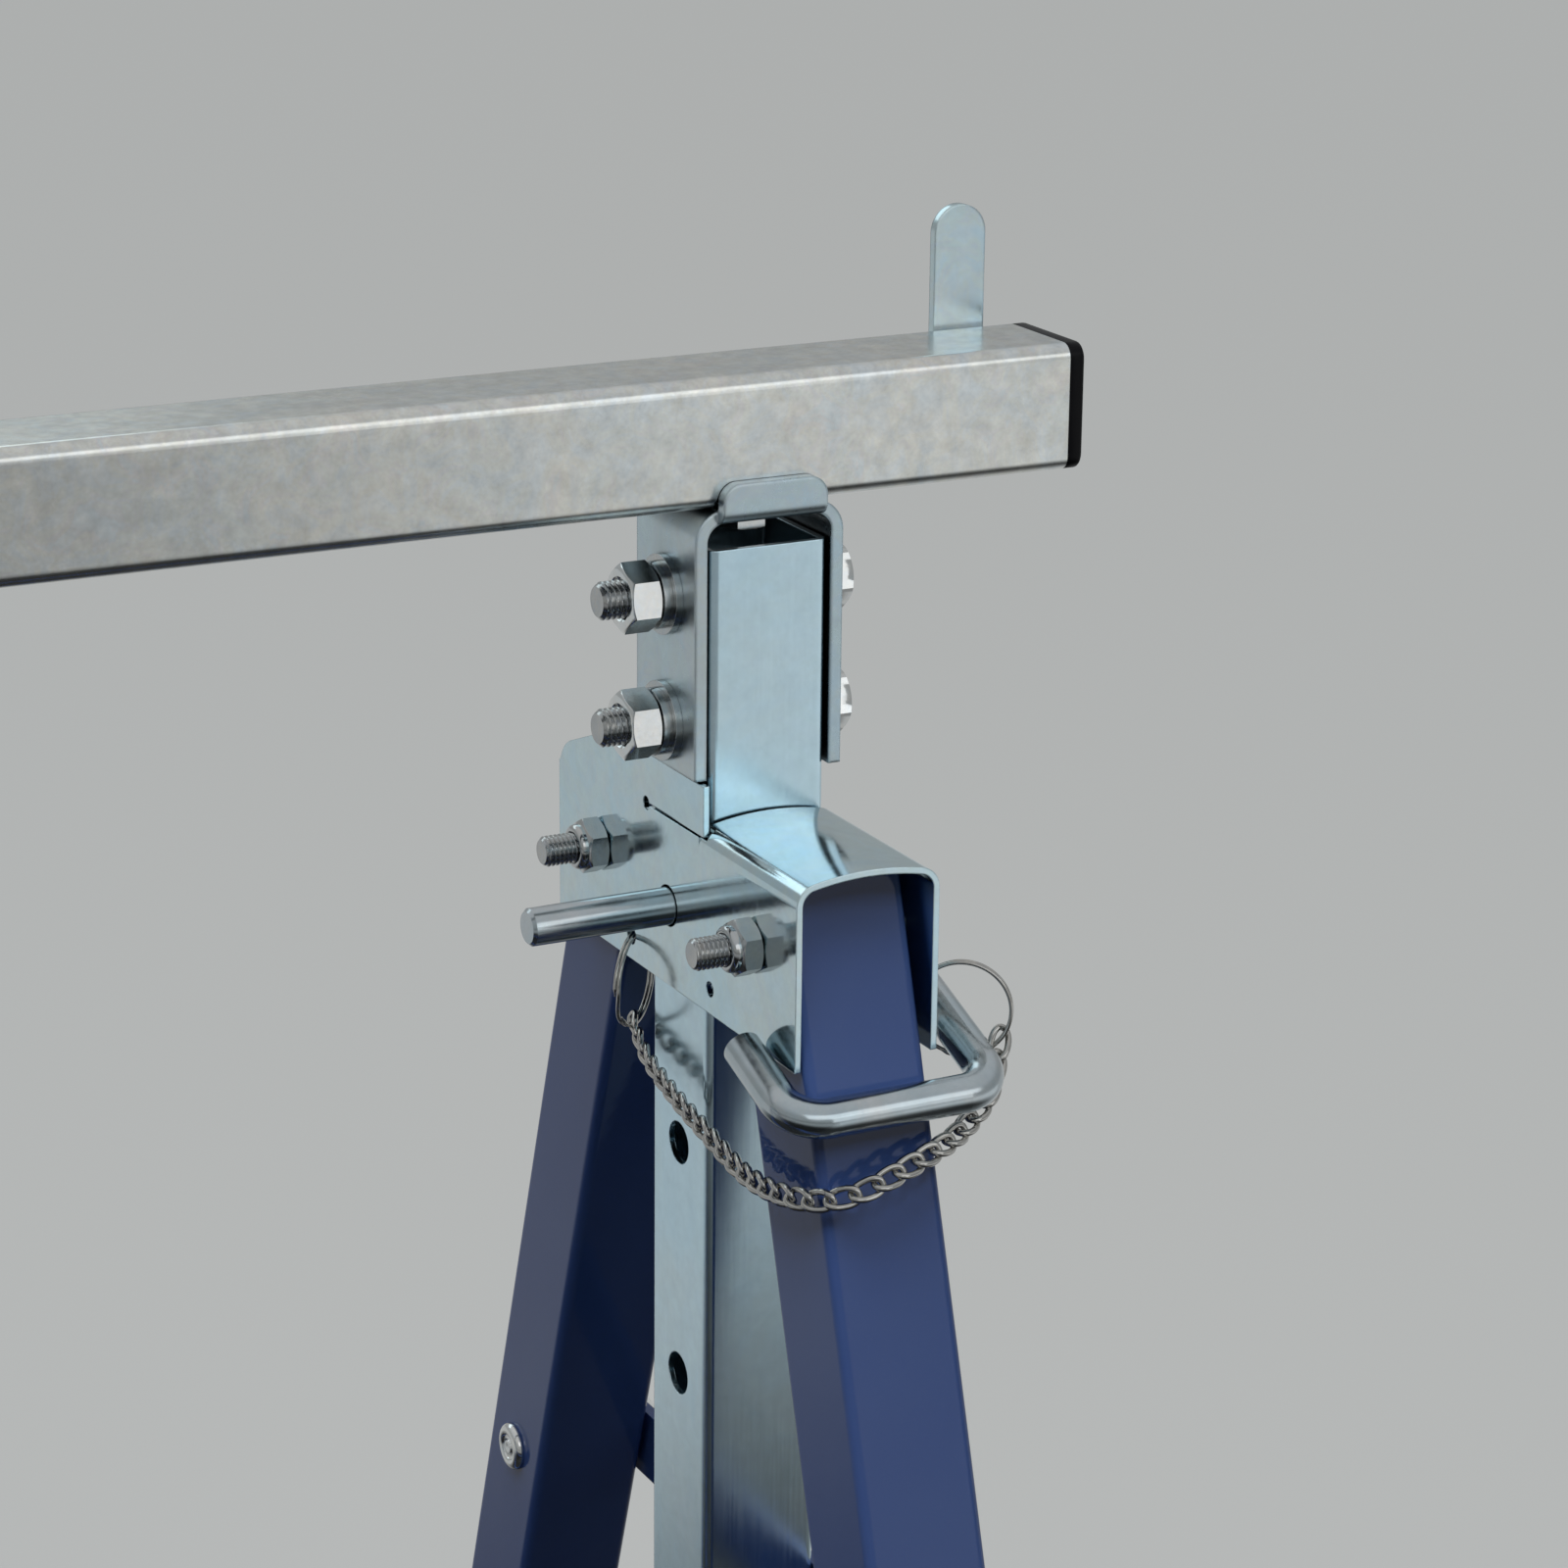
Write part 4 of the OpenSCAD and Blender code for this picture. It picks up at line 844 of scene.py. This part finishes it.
def floor_material():
    """Pale grey floor. What the lens sees is mostly its own tone, so it stays even, and the part that the
    lamps light keeps the trestle's shadow. Mirrored in metal and paint it carries a painted shadow near the
    trestle, and elsewhere its brightness varies with direction."""
    material = bpy.data.materials.new("studio_floor")
    material.use_nodes = True
    tree = material.node_tree
    wire = Nodes(tree)
    tree.nodes.remove(tree.nodes["Principled BSDF"])
    rays = wire.add("ShaderNodeLightPath").outputs
    at = wire.add("ShaderNodeTexCoord").outputs["Object"]
    away = wire.add("ShaderNodeVectorMath", {0: at}, operation="LENGTH").outputs["Value"]
    side = wire.add("ShaderNodeSeparateXYZ", {0: at}).outputs
    dark = wire.add("ShaderNodeBsdfDiffuse", {"Color": (*FLOOR_BOUNCE, 1)}).outputs[0]
    lit = wire.add("ShaderNodeBsdfDiffuse", {"Color": (*FLOOR_LIT, 1)}).outputs[0]
    even = wire.add("ShaderNodeEmission", {"Color": (*FLOOR_TONE, 1)}).outputs[0]
    across_front = wire.math("DIVIDE", side["X"], wire.math("MULTIPLY", side["Y"], -1.0))
    sweep = wire.spread(across_front, 0.42, 0.70, 0.34, 0.70)
    far_fade = wire.spread(away, 3.8, 6.5, 1.0, 0.6)
    # Painted shadow for reflections: the mirrored floor goes dark near the trestle, within about 1.1 m in
    # front and 0.45 m behind
    near_painted_shadow = wire.spread(away, 1.1, 1.9, 0.05, 1.0)
    front = wire.math("MULTIPLY", wire.math("MULTIPLY", sweep, far_fade), near_painted_shadow)
    back = wire.spread(away, 0.45, 0.95, 0.03, 0.50)
    strength = wire.spread(side["Y"], -0.3, 0.3, front, back)
    mirrored_tone = wire.add("ShaderNodeEmission", {
        "Color": (*FLOOR_MIRRORED, 1), "Strength": strength}).outputs[0]
    seen = wire.add("ShaderNodeAddShader", {0: lit, 1: even}).outputs[0]
    through = wire.math("MAXIMUM", rays["Is Camera Ray"], rays["Is Transmission Ray"])
    mixed = wire.add("ShaderNodeMixShader", {0: rays["Is Glossy Ray"], 1: dark, 2: mirrored_tone}).outputs[0]
    mixed = wire.add("ShaderNodeMixShader", {0: through, 1: mixed, 2: seen}).outputs[0]
    tree.links.new(mixed, tree.nodes["Material Output"].inputs["Surface"])
    return material


floor_mesh = bpy.data.meshes.new("studio_floor")
floor_mesh.from_pydata([(-HALF_FLOOR, -HALF_FLOOR, 0), (HALF_FLOOR, -HALF_FLOOR, 0),
                        (HALF_FLOOR, HALF_FLOOR, 0), (-HALF_FLOOR, HALF_FLOOR, 0)], [], [(0, 1, 2, 3)])
floor_mesh.materials.append(floor_material())
studio_floor = bpy.data.objects.new("studio_floor", floor_mesh)
bpy.context.scene.collection.objects.link(studio_floor)


def panel_light(name, place, target, size, power, colour=(1, 1, 1), mirrored=True, lights=True):
    """Rectangular soft light at a place, facing a target, in metres and watts, that the lens doesn't see. A
    mirrored one shows in metal and paint, and one that lights nothing is a pale card, seen only there."""
    lamp = bpy.data.lights.new(name, "AREA")
    lamp.shape = "RECTANGLE"
    lamp.size, lamp.size_y = size
    lamp.energy = power
    lamp.color = colour
    holder = bpy.data.objects.new(name, lamp)
    bpy.context.scene.collection.objects.link(holder)
    holder.location = place
    holder.rotation_euler = (Vector(target) - Vector(place)).to_track_quat("-Z", "Y").to_euler()
    holder.visible_glossy = mirrored
    holder.visible_diffuse = lights
    holder.visible_camera = False


HEAD_PLACE = (0.4, 0.0, 0.7)
panel_light("key_panel", (-0.3, -0.5, 2.6), HEAD_PLACE, (1.5, 1.3), 38, mirrored=False)
panel_light("front_card", (0.8, -2.4, 1.8), (0.6, 0.0, 0.7), (3.7, 1.0), 8.8, lights=False)
panel_light("leg_light", (0.4, -1.8, 2.4), (0.4, -0.1, 0.5), (0.25, 0.8), 14.0, mirrored=False)
panel_light("strip_panel", (1.15, -1.9, 0.85), (0.4, 0.0, 0.72), (0.6, 0.8), 0.95)
panel_light("rear_panel", (0.0, 2.4, 2.15), HEAD_PLACE, (2.4, 0.9), 6.1, (0.82, 0.97, 1.0))

world = bpy.data.worlds.new("studio")
world.use_nodes = True
bpy.context.scene.world = world
sky = Nodes(world.node_tree)
direction = sky.add("ShaderNodeTexCoord").outputs["Generated"]
facing = sky.add("ShaderNodeSeparateXYZ", {0: direction}).outputs
tone = sky.ramp(sky.spread(facing["Z"], 0.0, 1.0), [
    (0.0, (0.35, 0.36, 0.36)), (0.32, (0.36, 0.37, 0.37)), (0.55, (0.50, 0.51, 0.52)),
    (1.0, (0.60, 0.60, 0.60))])
behind = sky.spread(facing["Y"], -0.5, 0.3, 0.05, 1.0)
rays = sky.add("ShaderNodeLightPath").outputs
through = sky.math("MAXIMUM", rays["Is Camera Ray"], rays["Is Transmission Ray"])
tone = sky.mix(through, tone, (*FAR_FLOOR_TONE, 1))
open_sky = sky.math("MAXIMUM", sky.math("MAXIMUM", behind, rays["Is Glossy Ray"]), through)
background = world.node_tree.nodes["Background"].inputs
sky.tree.links.new(tone, background["Color"])
sky.tree.links.new(open_sky, background["Strength"])

YAW = math.radians(27.540)
DIP = math.radians(17.449)
ROLL = math.radians(0.6086)
CAMERA_PLACE = (-0.1844, -1.1442, 1.0898)
SENSOR = 36
FOCAL_LENGTH = 99.30
ahead = Vector((math.sin(YAW) * math.cos(DIP), math.cos(YAW) * math.cos(DIP), -math.sin(DIP)))
level = Vector((math.cos(YAW), -math.sin(YAW), 0))
upward = level.cross(ahead)
across = math.cos(ROLL) * level + math.sin(ROLL) * upward
above = -math.sin(ROLL) * level + math.cos(ROLL) * upward
lens = bpy.data.cameras.new("camera")
lens.sensor_width = SENSOR
lens.lens = FOCAL_LENGTH
lens.clip_start = 0.01
camera = bpy.data.objects.new("camera", lens)
bpy.context.scene.collection.objects.link(camera)
turned_to = Matrix((across, above, -ahead)).transposed().to_4x4()
camera.matrix_world = Matrix.Translation(CAMERA_PLACE) @ turned_to
bpy.context.scene.camera = camera
bpy.context.scene.view_settings.view_transform = "Standard"
